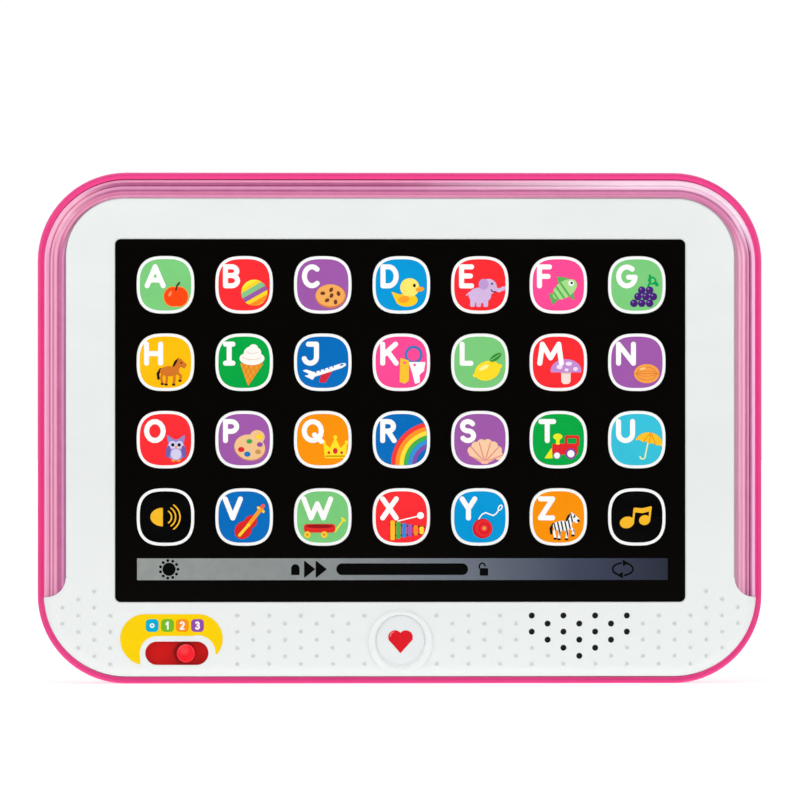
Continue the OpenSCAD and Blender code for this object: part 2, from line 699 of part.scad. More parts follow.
module door_screw() color(STEEL) stand() translate([0, door_screw_y]) screw(2.5, 1, 1.45, 5, 1.2);

module housing_screws() color(STEEL) stand() for (p = post_at) translate(p) screw(2.8, 2.2, 1.45, 12, 6);

module board_screws() color(STEEL) stand()
    for (p = boss_at) translate(p) screw(2.2, 1.4, 1.1, board_t + 2.6, board_z - board_t);

for (i = [0:27]) key(i);
rear_housing();
front_housing();
trim_band();
screen_panel();
keypad_mat();
main_board();
backlight_leds();
controller_blob();
capacitor();
home_button();
home_pad();
slider_decal();
slider_track();
stage_slider();
slider_contact();
slider_board();
ribbon_cable();
grille_cloth();
speaker_frame();
speaker_cone();
speaker_magnet();
speaker_screws();
speaker_wires();
batteries();
spring_contacts();
plate_contacts();
red_wire();
black_wire();
battery_door();
door_screw();
housing_screws();
board_screws();
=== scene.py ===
import json
import math

import bpy
import numpy as np
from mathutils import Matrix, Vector
from mathutils.geometry import delaunay_2d_cdt


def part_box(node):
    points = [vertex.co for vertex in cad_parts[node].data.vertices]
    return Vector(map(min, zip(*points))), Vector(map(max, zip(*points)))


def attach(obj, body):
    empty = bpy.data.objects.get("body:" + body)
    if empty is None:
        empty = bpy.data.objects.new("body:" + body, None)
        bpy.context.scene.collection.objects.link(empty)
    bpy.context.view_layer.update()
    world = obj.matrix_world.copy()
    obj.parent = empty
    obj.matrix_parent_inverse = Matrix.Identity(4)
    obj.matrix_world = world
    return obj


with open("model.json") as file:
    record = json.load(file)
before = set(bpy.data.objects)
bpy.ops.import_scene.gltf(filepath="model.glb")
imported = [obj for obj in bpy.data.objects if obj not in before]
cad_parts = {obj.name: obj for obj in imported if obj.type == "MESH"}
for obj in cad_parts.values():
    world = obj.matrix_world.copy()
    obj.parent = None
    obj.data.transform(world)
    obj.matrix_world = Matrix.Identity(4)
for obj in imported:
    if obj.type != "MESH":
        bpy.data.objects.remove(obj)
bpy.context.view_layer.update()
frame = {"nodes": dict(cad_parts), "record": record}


def centre_of(node):
    """The middle of a node's front, as (x, front y, z) in metres."""
    lo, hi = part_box(node)
    return Vector(((lo.x + hi.x) / 2, lo.y, (lo.z + hi.z) / 2))


SCENE = bpy.context.scene
MM = 0.001
KEY_NAMES = sorted(n for n in frame["nodes"] if n.startswith("key_"))
KEY_R = 9.85        # half width of a key, mm
KEY_POWER = 2.75    # roundness of the key outline
RING_W = 1.0        # white ring round each key's coloured field, mm
SINK = 0.06         # how far a print reaches into the part that carries it, mm
GROUND, OVER = 0.03, 0.05   # heights of a label's ground, and of what is printed over it, mm
PRINT = 0.04        # height of a key's lowest layer of print, mm
PRINT_STEP = 0.012  # how much higher each further layer stands, mm
MID_Z = centre_of("rear_housing").z
RIM_Y = -0.0029     # level where the rim is widest, m
FACE_Y = -0.011     # level of the white face, m
KNOB_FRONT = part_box("stage_slider")[0].y
KNOB_SHADE = (-0.0745, 0.0, 0.01075)    # middle of the shade the knob throws on its plate, m
HOME_X, _, HOME_Z = centre_of("home_button")
HOME_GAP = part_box("home_button")[1].x - HOME_X + 0.0008     # outer side of the gap round the button, m
HOME_RING = 0.0127  # outer side of the raised ring round the button, m
BUMPS_FROM = 0.013  # the nearest that a bump comes to the middle of the button, m
BAND_GLOW = 0.04    # how much of its own colour the clear band adds, as if lit from inside
INKS = {}


# ---- flat shapes

class Sheet:
    """Signed distances in mm over a flat rectangle: below zero is inside a shape."""

    def __init__(self, half_w, half_h, step=0.08):
        self.xs = np.arange(-half_w, half_w + step, step)
        self.ys = np.arange(-half_h, half_h + step, step)
        self.step = step
        self.x, self.y = np.meshgrid(self.xs, self.ys)

    def turned(self, c, turn):
        a = math.radians(turn)
        dx, dy = self.x - c[0], self.y - c[1]
        return dx * math.cos(a) + dy * math.sin(a), dy * math.cos(a) - dx * math.sin(a)

    def oval(self, c, rx, ry=None, turn=0):
        ry = ry or rx
        u, v = self.turned(c, turn)
        k = np.hypot(u / rx, v / ry)
        slope = np.hypot(u / rx ** 2, v / ry ** 2)
        return np.where(slope > 1e-6, k * (k - 1) / np.maximum(slope, 1e-6), -min(rx, ry))

    def box(self, c, w, h, r=0.0, turn=0):
        u, v = self.turned(c, turn)
        dx, dy = np.abs(u) - w / 2 + r, np.abs(v) - h / 2 + r
        return np.hypot(np.maximum(dx, 0), np.maximum(dy, 0)) + np.minimum(np.maximum(dx, dy), 0) - r

    def segment(self, a, b):
        ex, ey = b[0] - a[0], b[1] - a[1]
        dx, dy = self.x - a[0], self.y - a[1]
        t = np.clip((dx * ex + dy * ey) / max(ex * ex + ey * ey, 1e-9), 0, 1)
        return np.hypot(dx - t * ex, dy - t * ey)

    def path(self, points):
        """Distance from a line through some points."""
        return np.minimum.reduce([self.segment(a, b) for a, b in zip(points, points[1:])])

    def line(self, points, width):
        return self.path(points) - width / 2

    def poly(self, points, soft=0.0):
        """A filled polygon, grown by soft with round corners."""
        loop = list(points) + [points[0]]
        inside = np.zeros(self.x.shape, bool)
        for (ax, ay), (bx, by) in zip(loop, loop[1:]):
            if ay == by:
                continue
            crosses = (ay > self.y) != (by > self.y)
            inside ^= crosses & (self.x < (bx - ax) * (self.y - ay) / (by - ay) + ax)
        far = self.path(loop)
        return np.where(inside, -far, far) - soft

    def above(self, y):
        return y - self.y

    def stripes(self, pitch, width, turn):
        u = self.turned((0, 0), turn)[0]
        return np.abs(u % pitch - pitch / 2) - width / 2

    def field(self, r):
        """The superellipse inside a key's white ring."""
        k = (np.abs(self.x) ** KEY_POWER + np.abs(self.y) ** KEY_POWER) ** (1 / KEY_POWER)
        return k - r


def join(*d):
    return np.minimum.reduce(d)


def both(*d):
    return np.maximum.reduce(d)


def cut(a, *rest):
    return np.maximum.reduce([a] + [-d for d in rest])


def bow(c, rx, ry, a0, a1, n=14):
    """Points along an arc of an ellipse."""
    steps = [math.radians(a0 + (a1 - a0) * i / n) for i in range(n + 1)]
    return [(c[0] + rx * math.cos(a), c[1] + ry * math.sin(a)) for a in steps]


# Which cell edges a contour joins, keyed by the corners inside; the inside is on its left.
# Edges: 0 bottom, 1 right, 2 top, 3 left.
# Corners: 1 lower left, 2 lower right, 4 upper right, 8 upper left.
CELL = {1: ((0, 3),), 2: ((1, 0),), 3: ((1, 3),), 4: ((2, 1),), 5: ((0, 3), (2, 1)), 6: ((2, 0),),
        7: ((2, 3),), 8: ((3, 2),), 9: ((0, 2),), 10: ((1, 0), (3, 2)), 11: ((1, 2),),
        12: ((3, 1),), 13: ((0, 1),), 14: ((3, 0),)}
NEAR = 1e-5         # distances closer to zero than this count as outside, mm
FLAT = 1e-9         # lengths and areas below this are nothing


def thin_out(points, limit):
    """Drops points that lie within limit of the line between their neighbours."""
    keep = np.zeros(len(points), bool)
    keep[0] = keep[-1] = True
    todo = [(0, len(points) - 1)]
    while todo:
        a, b = todo.pop()
        if b - a < 2:
            continue
        line = points[b] - points[a]
        off = points[a + 1:b] - points[a]
        size = np.hypot(*line)
        far = np.hypot(off[:, 0], off[:, 1])
        if size > FLAT:
            far = np.abs(off[:, 0] * line[1] - off[:, 1] * line[0]) / size
        k = int(far.argmax())
        if far[k] > limit:
            keep[a + 1 + k] = True
            todo += [(a, a + 1 + k), (a + 1 + k, b)]
    return points[keep]


def contours(sheet, d, limit=0.012):
    """The closed outlines of a signed-distance field, in mm."""
    d = np.where(np.abs(d) < NEAR, NEAR, d)
    for border in (d[0], d[-1], d[:, 0], d[:, -1]):
        np.maximum(border, NEAR, out=border)
    inside = d < 0
    code = inside[:-1, :-1] * 1 + inside[:-1, 1:] * 2 + inside[1:, 1:] * 4 + inside[1:, :-1] * 8
    nx = d.shape[1]

    def edge(i, j, side):
        corner = i * nx + j
        return (corner * 2, (corner + 1) * 2 + 1, (corner + nx) * 2, corner * 2 + 1)[side]

    after = {}
    for i, j in zip(*np.nonzero((code > 0) & (code < 15))):
        for a, b in CELL[int(code[i, j])]:
            after[edge(i, j, a)] = edge(i, j, b)

    def place(e):
        i, j = divmod(e // 2, nx)
        k, m = (i + 1, j) if e % 2 else (i, j + 1)
        t = d[i, j] / (d[i, j] - d[k, m])
        x, y = sheet.xs, sheet.ys
        return x[j] + t * (x[m] - x[j]), y[i] + t * (y[k] - y[i])

    loops = []
    while after:
        start, at = after.popitem()
        ring = [start]
        while at != start:
            ring.append(at)
            at = after.pop(at)
        points = np.array([place(e) for e in ring])
        half = int(np.hypot(*(points - points[0]).T).argmax())
        if half == 0:
            continue
        closed = np.vstack([points, points[:1]])
        loop = np.vstack([thin_out(closed[:half + 1], limit)[:-1], thin_out(closed[half:], limit)[:-1]])
        if len(loop) > 2:
            loops.append(loop)
    return loops


def triangles(sheet, d, loops):
    """Fills the outlines with triangles, and leaves the holes open."""
    points, edges = [], []
    for loop in loops:
        n, base = len(loop), len(points)
        points += [Vector(p) for p in loop]
        edges += [(base + i, base + (i + 1) % n) for i in range(n)]
    verts, _, faces, *_ = delaunay_2d_cdt(points, edges, [], 1, 1e-7)
    flat = np.array([v[:] for v in verts])
    kept = []
    for f in faces:
        a, b, c = flat[list(f)]
        x, y = (a + b + c) / 3
        gx, gy = (x - sheet.xs[0]) / sheet.step, (y - sheet.ys[0]) / sheet.step
        j, i = min(int(gx), d.shape[1] - 2), min(int(gy), d.shape[0] - 2)
        u, v = gx - j, gy - i
        low, high = (d[row, j] * (1 - u) + d[row, j + 1] * u for row in (i, i + 1))
        area = (b[0] - a[0]) * (c[1] - a[1]) - (b[1] - a[1]) * (c[0] - a[0])
        if low * (1 - v) + high * v < 0 and abs(area) > FLAT:
            kept.append(tuple(f) if area > 0 else tuple(reversed(f)))
    return flat, kept


def carried(name, mesh, body):
    """Puts a mesh in the scene, as a piece that rides on a body."""
    piece = bpy.data.objects.new(name, mesh)
    SCENE.collection.objects.link(piece)
    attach(piece, body)


def printed(name, at, layers, body):
    """One object from flat layers of colour, each a closed thin plate, on a front facing -Y.
    layers holds (material, sheet, distances, height in mm); at is the front's centre in metres."""
    verts, faces, marks, mats = [], [], [], []
    for mat, sheet, d, height in layers:
        loops = contours(sheet, d)
        if not loops:
            continue
        flat, tris = triangles(sheet, d, loops)
        if mat not in mats:
            mats.append(mat)
        base, n = len(verts), len(flat)
        for level in (height, -SINK):
            verts += [(at.x + x * MM, at.y - level * MM, at.z + y * MM) for x, y in flat]
        edges = {}
        for a, b, c in tris:
            for e in ((a, b), (b, c), (c, a)):
                edges[e] = edges.get(e, 0) + 1
        new = [(base + a, base + b, base + c) for a, b, c in tris]
        new += [(base + n + c, base + n + b, base + n + a) for a, b, c in tris]
        new += [(base + b, base + a, base + n + a, base + n + b) for a, b in edges if (b, a) not in edges]
        faces += new
        marks += [mats.index(mat)] * len(new)
    mesh = bpy.data.meshes.new(name)
    mesh.from_pydata(verts, [], faces)
    for m in mats:
        mesh.materials.append(m)
    mesh.polygons.foreach_set("material_index", marks)
    mesh.validate()
    carried(name, mesh, body)


# ---- materials

def linear(rgb):
    """8-bit display colour to linear."""
    return tuple((c / 3294.6 if c <= 10 else ((c / 255 + 0.055) / 1.055) ** 2.4) for c in rgb) + (1.0,)


def shade_of(rgb, k):
    """A linear colour made darker or lighter, and opaque."""
    return tuple(c * k for c in rgb[:3]) + (1.0,)


class Nodes:
    """Short calls for building the node tree of a new material, or of a material or world that's there.
    A colour of three numbers is an 8-bit display colour, and one of four is linear."""

    def __init__(self, owner):
        self.owner = bpy.data.materials.new(owner) if isinstance(owner, str) else owner
        self.owner.use_nodes = True
        self.tree = self.owner.node_tree
        self.out = self.tree.nodes.get("Principled BSDF")
        self.coords = self.new("TexCoord").outputs
        self.here = self.coords["Object"]

    def new(self, kind, **inputs):
        """A node with its inputs set by name, or by number as in _0."""
        node = self.tree.nodes.new("ShaderNode" + kind)
        for key, value in inputs.items():
            self.put(node, key, value)
        return node

    def put(self, node, key, value):
        key = key.replace("_", " ").strip()
        socket = node.inputs[int(key) if key.isdigit() else key]
        if isinstance(value, bpy.types.NodeSocket):
            self.tree.links.new(value, socket)
        elif socket.type == "RGBA" and len(value) == 3:
            socket.default_value = linear(value)
        else:
            socket.default_value = value

    def noise(self, scale, detail=4.0, rough=0.5, at=None):
        return self.new("TexNoise", Vector=at or self.here, Scale=scale, Detail=detail,
                        Roughness=rough).outputs["Fac"]

    def axis(self, name, of=None):
        """One coordinate of a vector, which is the place on the part if none is given."""
        return self.new("SeparateXYZ", Vector=of or self.here).outputs[name]

    def ray(self, kind):
        return self.new("LightPath").outputs[f"Is {kind} Ray"]

    def painted(self):
        """What the base colour comes from so far."""
        return self.out.inputs["Base Color"].links[0].from_socket

    def stretched(self, factors):
        node = self.new("Mapping", Vector=self.here)
        node.inputs["Scale"].default_value = factors
        return node.outputs[0]

    def span(self, value, a, b, c=0.0, d=1.0):
        """Maps a..b to c..d, and stops at the ends."""
        node = self.new("MapRange", Value=value)
        for key, v in zip(("From Min", "From Max", "To Min", "To Max"), (a, b, c, d)):
            self.put(node, key, v)
        return node.outputs["Result"]

    def math(self, kind, a, b=0.0):
        node = self.new("Math", _0=a, _1=b)
        node.operation = kind
        return node.outputs[0]

    def times(self, a, b):
        return self.math("MULTIPLY", a, b)

    def flat(self, of=None):
        """A vector without its depth, by default the place on the part."""
        return self.vector("MULTIPLY", of or self.here, (1.0, 0.0, 1.0))

    def vector(self, kind, a, b=(0.0, 0.0, 0.0)):
        node = self.new("VectorMath", _0=a, _1=b)
        node.operation = kind
        return node.outputs["Value" if kind in ("LENGTH", "DOT_PRODUCT") else "Vector"]

    def mix(self, fac, a, b):
        node = self.new("Mix", _0=fac, _6=a, _7=b)
        node.data_type = "RGBA"
        return node.outputs[2]

    def ramp(self, value, *stops):
        """Colours along a value. A stop is (percent, red, green, blue)."""
        node = self.new("ValToRGB", Fac=value)
        elements = node.color_ramp.elements
        while len(elements) < len(stops):
            elements.new(0.5)
        for e, (at, *rgb) in zip(elements, stops):
            e.position, e.color = at / 100, linear(rgb)
        return node.outputs["Color"]

    def bump(self, height, strength, distance=0.0002):
        node = self.new("Bump", Strength=strength, Distance=distance, Height=height)
        self.put(self.out, "Normal", node.outputs[0])

    def set(self, **inputs):
        for key, value in inputs.items():
            self.put(self.out, key, value)
        return self.owner


def plastic(name, rgb, rough=0.3, coat=0.25, grain=2200, bump=0.08, vary=0.05, worn=0, spec=0.5,
            uneven=1):
    """Moulded plastic: faint flow marks in the colour, a fine grain, and uneven gloss."""
    n = Nodes(name)
    base = linear(rgb)
    pale = tuple(min(1, c * (1 + vary) + vary * 0.1) for c in base[:3]) + (1,)
    dark = shade_of(base, 1 - vary * 1.6)
    flow = n.noise(34, 3, 0.55, n.stretched((1, 1, 2.2)))
    colour = n.mix(n.span(flow, 0.3, 0.7), dark, pale)
    if worn:
        edge = n.new("NewGeometry").outputs["Pointiness"]
        rub = n.times(n.span(edge, 0.52, 0.62, 0, worn), n.noise(260, 4))
        colour = n.mix(rub, colour, (0.9, 0.88, 0.88, 1))
    n.bump(n.noise(grain, 3, 0.6), bump, 0.00006)
    smooth, dull = rough * (1 - 0.18 * uneven), rough * (1 + 0.25 * uneven)
    gloss = n.span(n.noise(70, 5, 0.65), 0.3, 0.75, smooth, dull)
    return n.set(Base_Color=colour, Roughness=gloss, Coat_Weight=coat, Coat_Roughness=0.12, IOR=1.48,
                 Specular_IOR_Level=spec)


def ink(r, g, b):
    """Printed colour with a fine dot grain, made once for each colour."""
    if (r, g, b) not in INKS:
        n = Nodes(f"ink_{r}_{g}_{b}")
        base = linear((r, g, b))
        dots = n.new("TexVoronoi", Vector=n.here, Scale=5200).outputs["Distance"]
        cloud = n.span(n.noise(180, 3), 0.3, 0.7, 0, 0.5)
        tone = n.math("ADD", n.span(dots, 0, 0.7, 0, 0.5), cloud)
        n.bump(n.noise(900, 2), 0.05, 0.00003)
        INKS[(r, g, b)] = n.set(Base_Color=n.mix(tone, shade_of(base, 0.93), base), Roughness=0.26,
                                Specular_IOR_Level=0.1)
    return INKS[(r, g, b)]


def metal(name, rgb, rough=0.28, brushed=(1, 1, 18), tint=None):
    """Plated or brushed metal with fine lines and a little tarnish."""
    n = Nodes(name)
    base = linear(rgb)
    lines = n.noise(420, 4, 0.6, n.stretched(brushed))
    spots = n.span(n.noise(120, 5, 0.6), 0.48, 0.72, 0, 0.55)
    old = linear(tint) if tint else shade_of(base, 0.55)
    n.bump(lines, 0.12, 0.00005)
    return n.set(Base_Color=n.mix(spots, base, old), Metallic=1,
                 Roughness=n.span(lines, 0.3, 0.7, rough * 0.75, rough * 1.35))


def rim_material():
    """Hot pink shell. The outer edge picks up white light from round the toy, light bleeds through
    the lower side, and the groove beside the band and the face glows with the pink round it."""
    n = Nodes(plastic("case_hot_pink", (227, 53, 129), grain=420, bump=0.02, vary=0.02, uneven=0.25))
    normal = n.new("NewGeometry").outputs["Normal"]
    from_middle = n.flat(n.vector("SUBTRACT", n.here, (0, 0, MID_Z)))
    faces_out = n.vector("DOT_PRODUCT", normal, from_middle)
    in_front = n.span(n.axis("Y"), RIM_Y, RIM_Y + 0.0012, 1, 0)
    outside = n.times(n.span(faces_out, -0.001, 0.001, 0, 0.8), in_front)
    inside = n.times(n.span(faces_out, -0.001, 0.001, 0.45, 0), in_front)
    tilt = n.axis("Y", normal)
    edge = n.times(n.span(tilt, -0.8, -0.1), outside)
    groove = n.times(n.span(tilt, -0.9, -0.5), inside)
    under = n.span(n.axis("Z", normal), -1, 0.3, 0.34, 0.03)
    return n.set(Base_Color=n.mix(edge, n.painted(), (252, 150, 198)),
                 Emission_Color=(255, 84, 156),
                 Emission_Strength=n.times(n.math("ADD", groove, under), n.ray("Camera")))


def knob_material():
    """Bright red slider knob with a painted highlight, on a darker plate that carries the knob's painted
    shade at its left. Its edge is rubbed pale.
    """
    n = Nodes(plastic("knob_red", (250, 18, 38), rough=0.22, vary=0.04, worn=0.3, spec=0.2))
    plate = n.span(n.axis("Y"), KNOB_FRONT + 0.0004, KNOB_FRONT + 0.0012)
    off_shade = n.vector("SUBTRACT", n.flat(), KNOB_SHADE)
    # painted shade that the knob throws on its plate
    shade = n.span(n.vector("LENGTH", off_shade), 0.0031, 0.0042, 0.75, 0)
    plate_red = n.mix(shade, (214, 16, 14), (110, 8, 4))
    # painted highlight on the knob's top
    off_gleam = n.vector("LENGTH", n.vector("SUBTRACT", off_shade, (0, 0, 0.0012)))
    knob_red = n.mix(n.span(off_gleam, 0.0008, 0.0022, 0.35, 0), n.painted(), (255, 96, 104))
    return n.set(Base_Color=n.mix(plate, knob_red, plate_red))


def gap_glow(n, away):
    """Light that the narrow gap round the home button catches between its two white walls."""
    near = n.math("LESS_THAN", away, HOME_GAP)
    deep = n.span(n.axis("Y"), FACE_Y - 0.0002, FACE_Y + 0.0008, 0, 0.2)
    return n.set(Emission_Color=(236, 238, 238), Emission_Strength=n.times(near, deep))


def from_home(n):
    """Distance from the middle of the home button, measured on the face."""
    return n.vector("LENGTH", n.vector("SUBTRACT", n.flat(), (HOME_X, 0, HOME_Z)))


def face_material():
    """Satin white shell, with painted light that makes it lighter low down. The raised ring round the home
    button is paler still with a painted highlight, and the bumps that stand above the face are a little
    greyer with painted shade."""
    n = Nodes(plastic("face_satin_white", (231, 235, 234), rough=0.42, coat=0.1, grain=1900, bump=0.06,
                      vary=0.012))
    depth = n.axis("Y")
    away = from_home(n)
    gap_glow(n, away)
    # painted light: the face lighter towards the bottom
    low = n.span(n.axis("Z"), 0.01, 0.08, 0.9, 0)
    plain = n.mix(low, n.painted(), (240, 244, 243))
    # painted highlight on the raised ring round the home button
    raised = n.times(n.math("LESS_THAN", away, HOME_RING), n.math("LESS_THAN", depth, FACE_Y - 0.0001))
    pale = n.mix(raised, plain, (241, 245, 244))
    # painted shade on the bumps that stand above the face
    bumps = n.times(n.span(depth, FACE_Y - 0.00022, FACE_Y - 0.00045),
                    n.math("GREATER_THAN", away, BUMPS_FROM))
    return n.set(Base_Color=n.mix(bumps, pale, (203, 209, 209)))


def button_material():
    """Gloss white home button."""
    n = Nodes(plastic("button_gloss_white", (240, 243, 244), rough=0.2, coat=0.5, vary=0.012, bump=0.03))
    return gap_glow(n, from_home(n))


def board_material():
    """Solder mask over copper tracks, with the tracks as a faint raised maze."""
    n = Nodes("board_mask")
    cell = n.new("TexWhiteNoise", Vector=n.vector("SNAP", n.here, (0.0013, 1, 0.0013))).outputs["Value"]
    wave = n.new("TexBrick", Vector=n.here, Scale=260).outputs["Fac"]
    track = n.times(wave, n.math("GREATER_THAN", cell, 0.45))
    colour = n.mix(track, (16, 88, 52), (52, 140, 84))
    n.bump(n.math("ADD", track, n.times(n.noise(1500, 3), 0.3)), 0.2, 0.00005)
    return n.set(Base_Color=colour, Roughness=n.span(track, 0, 1, 0.42, 0.3), Coat_Weight=0.3)


def cloth_material():
    """Woven speaker cloth."""
    n = Nodes("speaker_cloth")
    warp = n.new("TexWave", Vector=n.here, Scale=900, Distortion=0.4)
    weft = n.new("TexWave", Vector=n.here, Scale=900, Distortion=0.4)
    weft.bands_direction = "Z"
    weave = n.math("MAXIMUM", warp.outputs["Fac"], weft.outputs["Fac"])
    n.bump(weave, 0.5, 0.0001)
    return n.set(Base_Color=n.mix(weave, (10, 10, 12), (40, 40, 44)), Roughness=0.85,
                 Sheen_Weight=0.3)


def band_material():
    """Clear pink band. Light runs along it in lines, so the colour follows the distance in from
    its outer edge: its moulded lines with painted highlights and painted shade over them, in other sets
    at the left, the right, the corners and the top, where light falls differently, and a painted glow."""
    n = Nodes("band_clear_pink")
    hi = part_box("trim_band")[1]
    corner_r, band_w = 28 * MM, 8 * MM
    shifted = n.vector("SUBTRACT", n.here, (0, 0, MID_Z))
    size = n.vector("ABSOLUTE", n.flat(shifted))
    straight = (hi.x - corner_r, 0, hi.z - MID_Z - corner_r)
    past = n.vector("MAXIMUM", n.vector("SUBTRACT", size, straight))
    reach = n.vector("LENGTH", past)
    inward = n.math("DIVIDE", n.math("SUBTRACT", corner_r, reach), band_w)
    across = n.math("ADD", inward, n.times(n.math("SUBTRACT", n.noise(40, 3, 0.6), 0.5), 0.04))

    # painted highlights and painted shade over the moulded lines, one set for each side as light falls there
    left = n.ramp(
        across,
        (0, 246, 150, 194), (5, 255, 174, 212), (12, 236, 158, 194), (20, 230, 148, 184),
        (25, 218, 136, 172), (32, 250, 173, 206), (37, 214, 136, 170), (41, 190, 112, 144),
        (46, 240, 158, 190), (52, 244, 162, 196), (60, 214, 124, 170), (70, 190, 97, 148),
        (76, 188, 98, 147), (81, 228, 144, 189), (85, 218, 144, 184), (90, 174, 112, 146))
    right = n.ramp(
        across,
        (0, 250, 170, 212), (5, 253, 192, 230), (11, 252, 193, 231), (16, 210, 148, 186),
        (20, 178, 104, 142), (25, 178, 98, 138), (29, 200, 116, 158), (34, 244, 148, 195),
        (39, 190, 98, 142), (43, 166, 81, 120), (48, 230, 150, 188), (53, 245, 179, 207),
        (73, 242, 173, 201), (77, 222, 154, 182), (81, 192, 126, 154), (87, 204, 156, 178))
    top = n.ramp(
        across,
        (0, 240, 136, 184), (6, 236, 134, 182), (12, 200, 112, 156), (17, 176, 86, 130),
        (23, 178, 92, 136), (30, 196, 108, 152), (36, 222, 132, 180), (41, 214, 126, 172),
        (46, 164, 74, 122), (50, 172, 82, 130), (56, 220, 126, 172), (74, 222, 132, 174),
        (80, 206, 126, 166), (86, 176, 110, 146), (92, 200, 150, 178))
    left_corner = n.ramp(
        across,
        (0, 246, 140, 190), (6, 248, 173, 207), (15, 238, 171, 199), (22, 236, 158, 187),
        (31, 246, 166, 195), (36, 242, 169, 196), (40, 230, 156, 184), (45, 206, 128, 160),
        (49, 208, 127, 160), (57, 226, 138, 174), (67, 244, 152, 190), (72, 232, 146, 182),
        (77, 168, 98, 130), (81, 144, 84, 112), (86, 190, 150, 170))
    right_corner = n.ramp(
        across,
        (0, 248, 148, 196), (5, 255, 190, 225), (10, 251, 217, 236), (20, 250, 224, 237),
        (30, 250, 219, 239), (36, 247, 198, 224), (41, 240, 178, 208), (45, 186, 108, 146),
        (48, 164, 86, 126), (53, 206, 122, 164), (58, 232, 141, 187), (66, 229, 139, 183),
        (72, 196, 110, 150), (77, 180, 106, 142), (83, 202, 150, 176))
    x = n.axis("X", shifted)
    right_side = n.span(x, -0.02, 0.02)
    turned = n.math("DIVIDE", n.axis("Z", past), n.math("MAXIMUM", reach, MM))
    corner = n.mix(right_side, left_corner, right_corner)
    colour = n.mix(n.span(turned, 0.1, 0.5), n.mix(right_side, left, right), corner)
    along = n.mix(n.span(x, 0, 0.08), top, right_corner)
    colour = n.mix(n.span(turned, 0.82, 1), colour, along)
    streak = n.noise(180, 4, 0.7)
    colour = n.mix(n.span(streak, 0.35, 0.75, 0, 0.12), colour, (250, 180, 214))
    n.bump(n.noise(420, 3, 0.6), 0.08, 0.0001)
    # painted glow of the band's own colour, as if lit from inside
    n.set(Emission_Color=colour, Emission_Strength=n.times(n.ray("Camera"), BAND_GLOW))
    return n.set(Base_Color=colour, Roughness=0.2, Coat_Weight=0.4, Coat_Roughness=0.05, IOR=1.5)


def sleeve_material():
    """Printed cell sleeve: a green body with a pale band at each end."""
    n = Nodes("cell_sleeve")
    end = n.math("GREATER_THAN", n.math("ABSOLUTE", n.axis("X")), 0.0165)
    colour = n.mix(end, (34, 120, 70), (214, 190, 96))
    n.bump(n.noise(900, 3), 0.06, 0.00005)
    return n.set(Base_Color=colour, Metallic=0.6, Roughness=n.span(n.noise(120, 4), 0.3, 0.7, 0.24, 0.4))


def screen_material():
    """Gloss black panel with a little dust."""
    n = Nodes("screen_gloss_black")
    dust = n.span(n.noise(1400, 2, 0.7), 0.62, 0.8, 0, 0.06)
    n.bump(n.noise(26, 2, 0.5), 0.03, 0.0002)
    return n.set(Base_Color=n.mix(dust, (0.0022, 0.0019, 0.0015, 1), (0.02, 0.02, 0.02, 1)),
                 Roughness=n.span(n.noise(40, 5, 0.7), 0.3, 0.75, 0.08, 0.18), Specular_IOR_Level=0.15)


FIELDS = dict(
    key_pastel_green=(122, 202, 123), key_red=(250, 44, 51), key_purple=(159, 89, 168),
    key_sky_blue=(0, 152, 215), key_pink=(250, 73, 147), key_amber=(252, 190, 0),
    key_green=(0, 165, 66), key_blue=(0, 107, 186), key_orange=(250, 146, 0),
    key_cyan=(55, 192, 217), key_black=(4, 4, 5))
FINISH = {slot: plastic(slot, rgb, rough=0.24, coat=0, bump=0.04, vary=0.03, grain=3000, spec=0.08)
          for slot, rgb in FIELDS.items()}
FINISH.update(
    case_pink=rim_material(),
    band_pink=band_material(),
    face_white=face_material(),
    button_white=button_material(),
    screen_black=screen_material(),
    label_yellow=ink(255, 213, 0),
    track_red=plastic("track_red", (232, 26, 20), coat=0.2, vary=0.08, spec=0.2),
    knob_red=knob_material(),
    silicone_grey=plastic("silicone", (206, 210, 214), rough=0.55, coat=0, bump=0.15, vary=0.04),
    board_green=board_material(),
    led_body=plastic("led_resin", (244, 236, 180), rough=0.15, coat=0.6, vary=0.06),
    epoxy_black=plastic("poured_resin", (16, 16, 18), rough=0.18, coat=0.6, grain=240, bump=0.3),
    capacitor_sleeve=plastic("capacitor_sleeve", (30, 36, 82), coat=0.3, vary=0.1),
    contact_copper=metal("copper_strip", (208, 132, 78), 0.3, tint=(120, 64, 40)),
    contact_nickel=metal("nickel_strip", (206, 204, 196), 0.22, tint=(150, 146, 132)),
    cable_grey=plastic("ribbon_grey", (208, 208, 202), rough=0.5, coat=0, vary=0.05, bump=0.2),
    cloth_black=cloth_material(),
    speaker_steel=metal("pressed_steel", (150, 152, 156), 0.34),
    cone_paper=plastic("cone_paper", (44, 42, 42), rough=0.85, coat=0, grain=1200, bump=0.6, vary=0.2),
    magnet_iron=metal("plated_iron", (118, 118, 122), 0.4, (6, 6, 6)),
    screw_steel=metal("zinc_screw", (196, 198, 204), 0.26, (9, 1, 9)),
    wire_red=plastic("wire_red", (190, 28, 28), rough=0.45, coat=0.1, vary=0.08),
    wire_black=plastic("wire_black", (18, 18, 18), rough=0.45, coat=0.1, vary=0.08),
    cell_sleeve=sleeve_material(),
)
SLOT_OF = {s["node"]: s["material_slot"] for s in frame["record"]["subparts"]}
for node, piece in frame["nodes"].items():
    for holder in piece.material_slots:
        holder.material = FINISH[SLOT_OF[node]]

WHITE = plastic("ring_white", (250, 251, 250), coat=0.2, vary=0.01, bump=0.03)
LETTER = ink(252, 252, 250)


# ---- key art

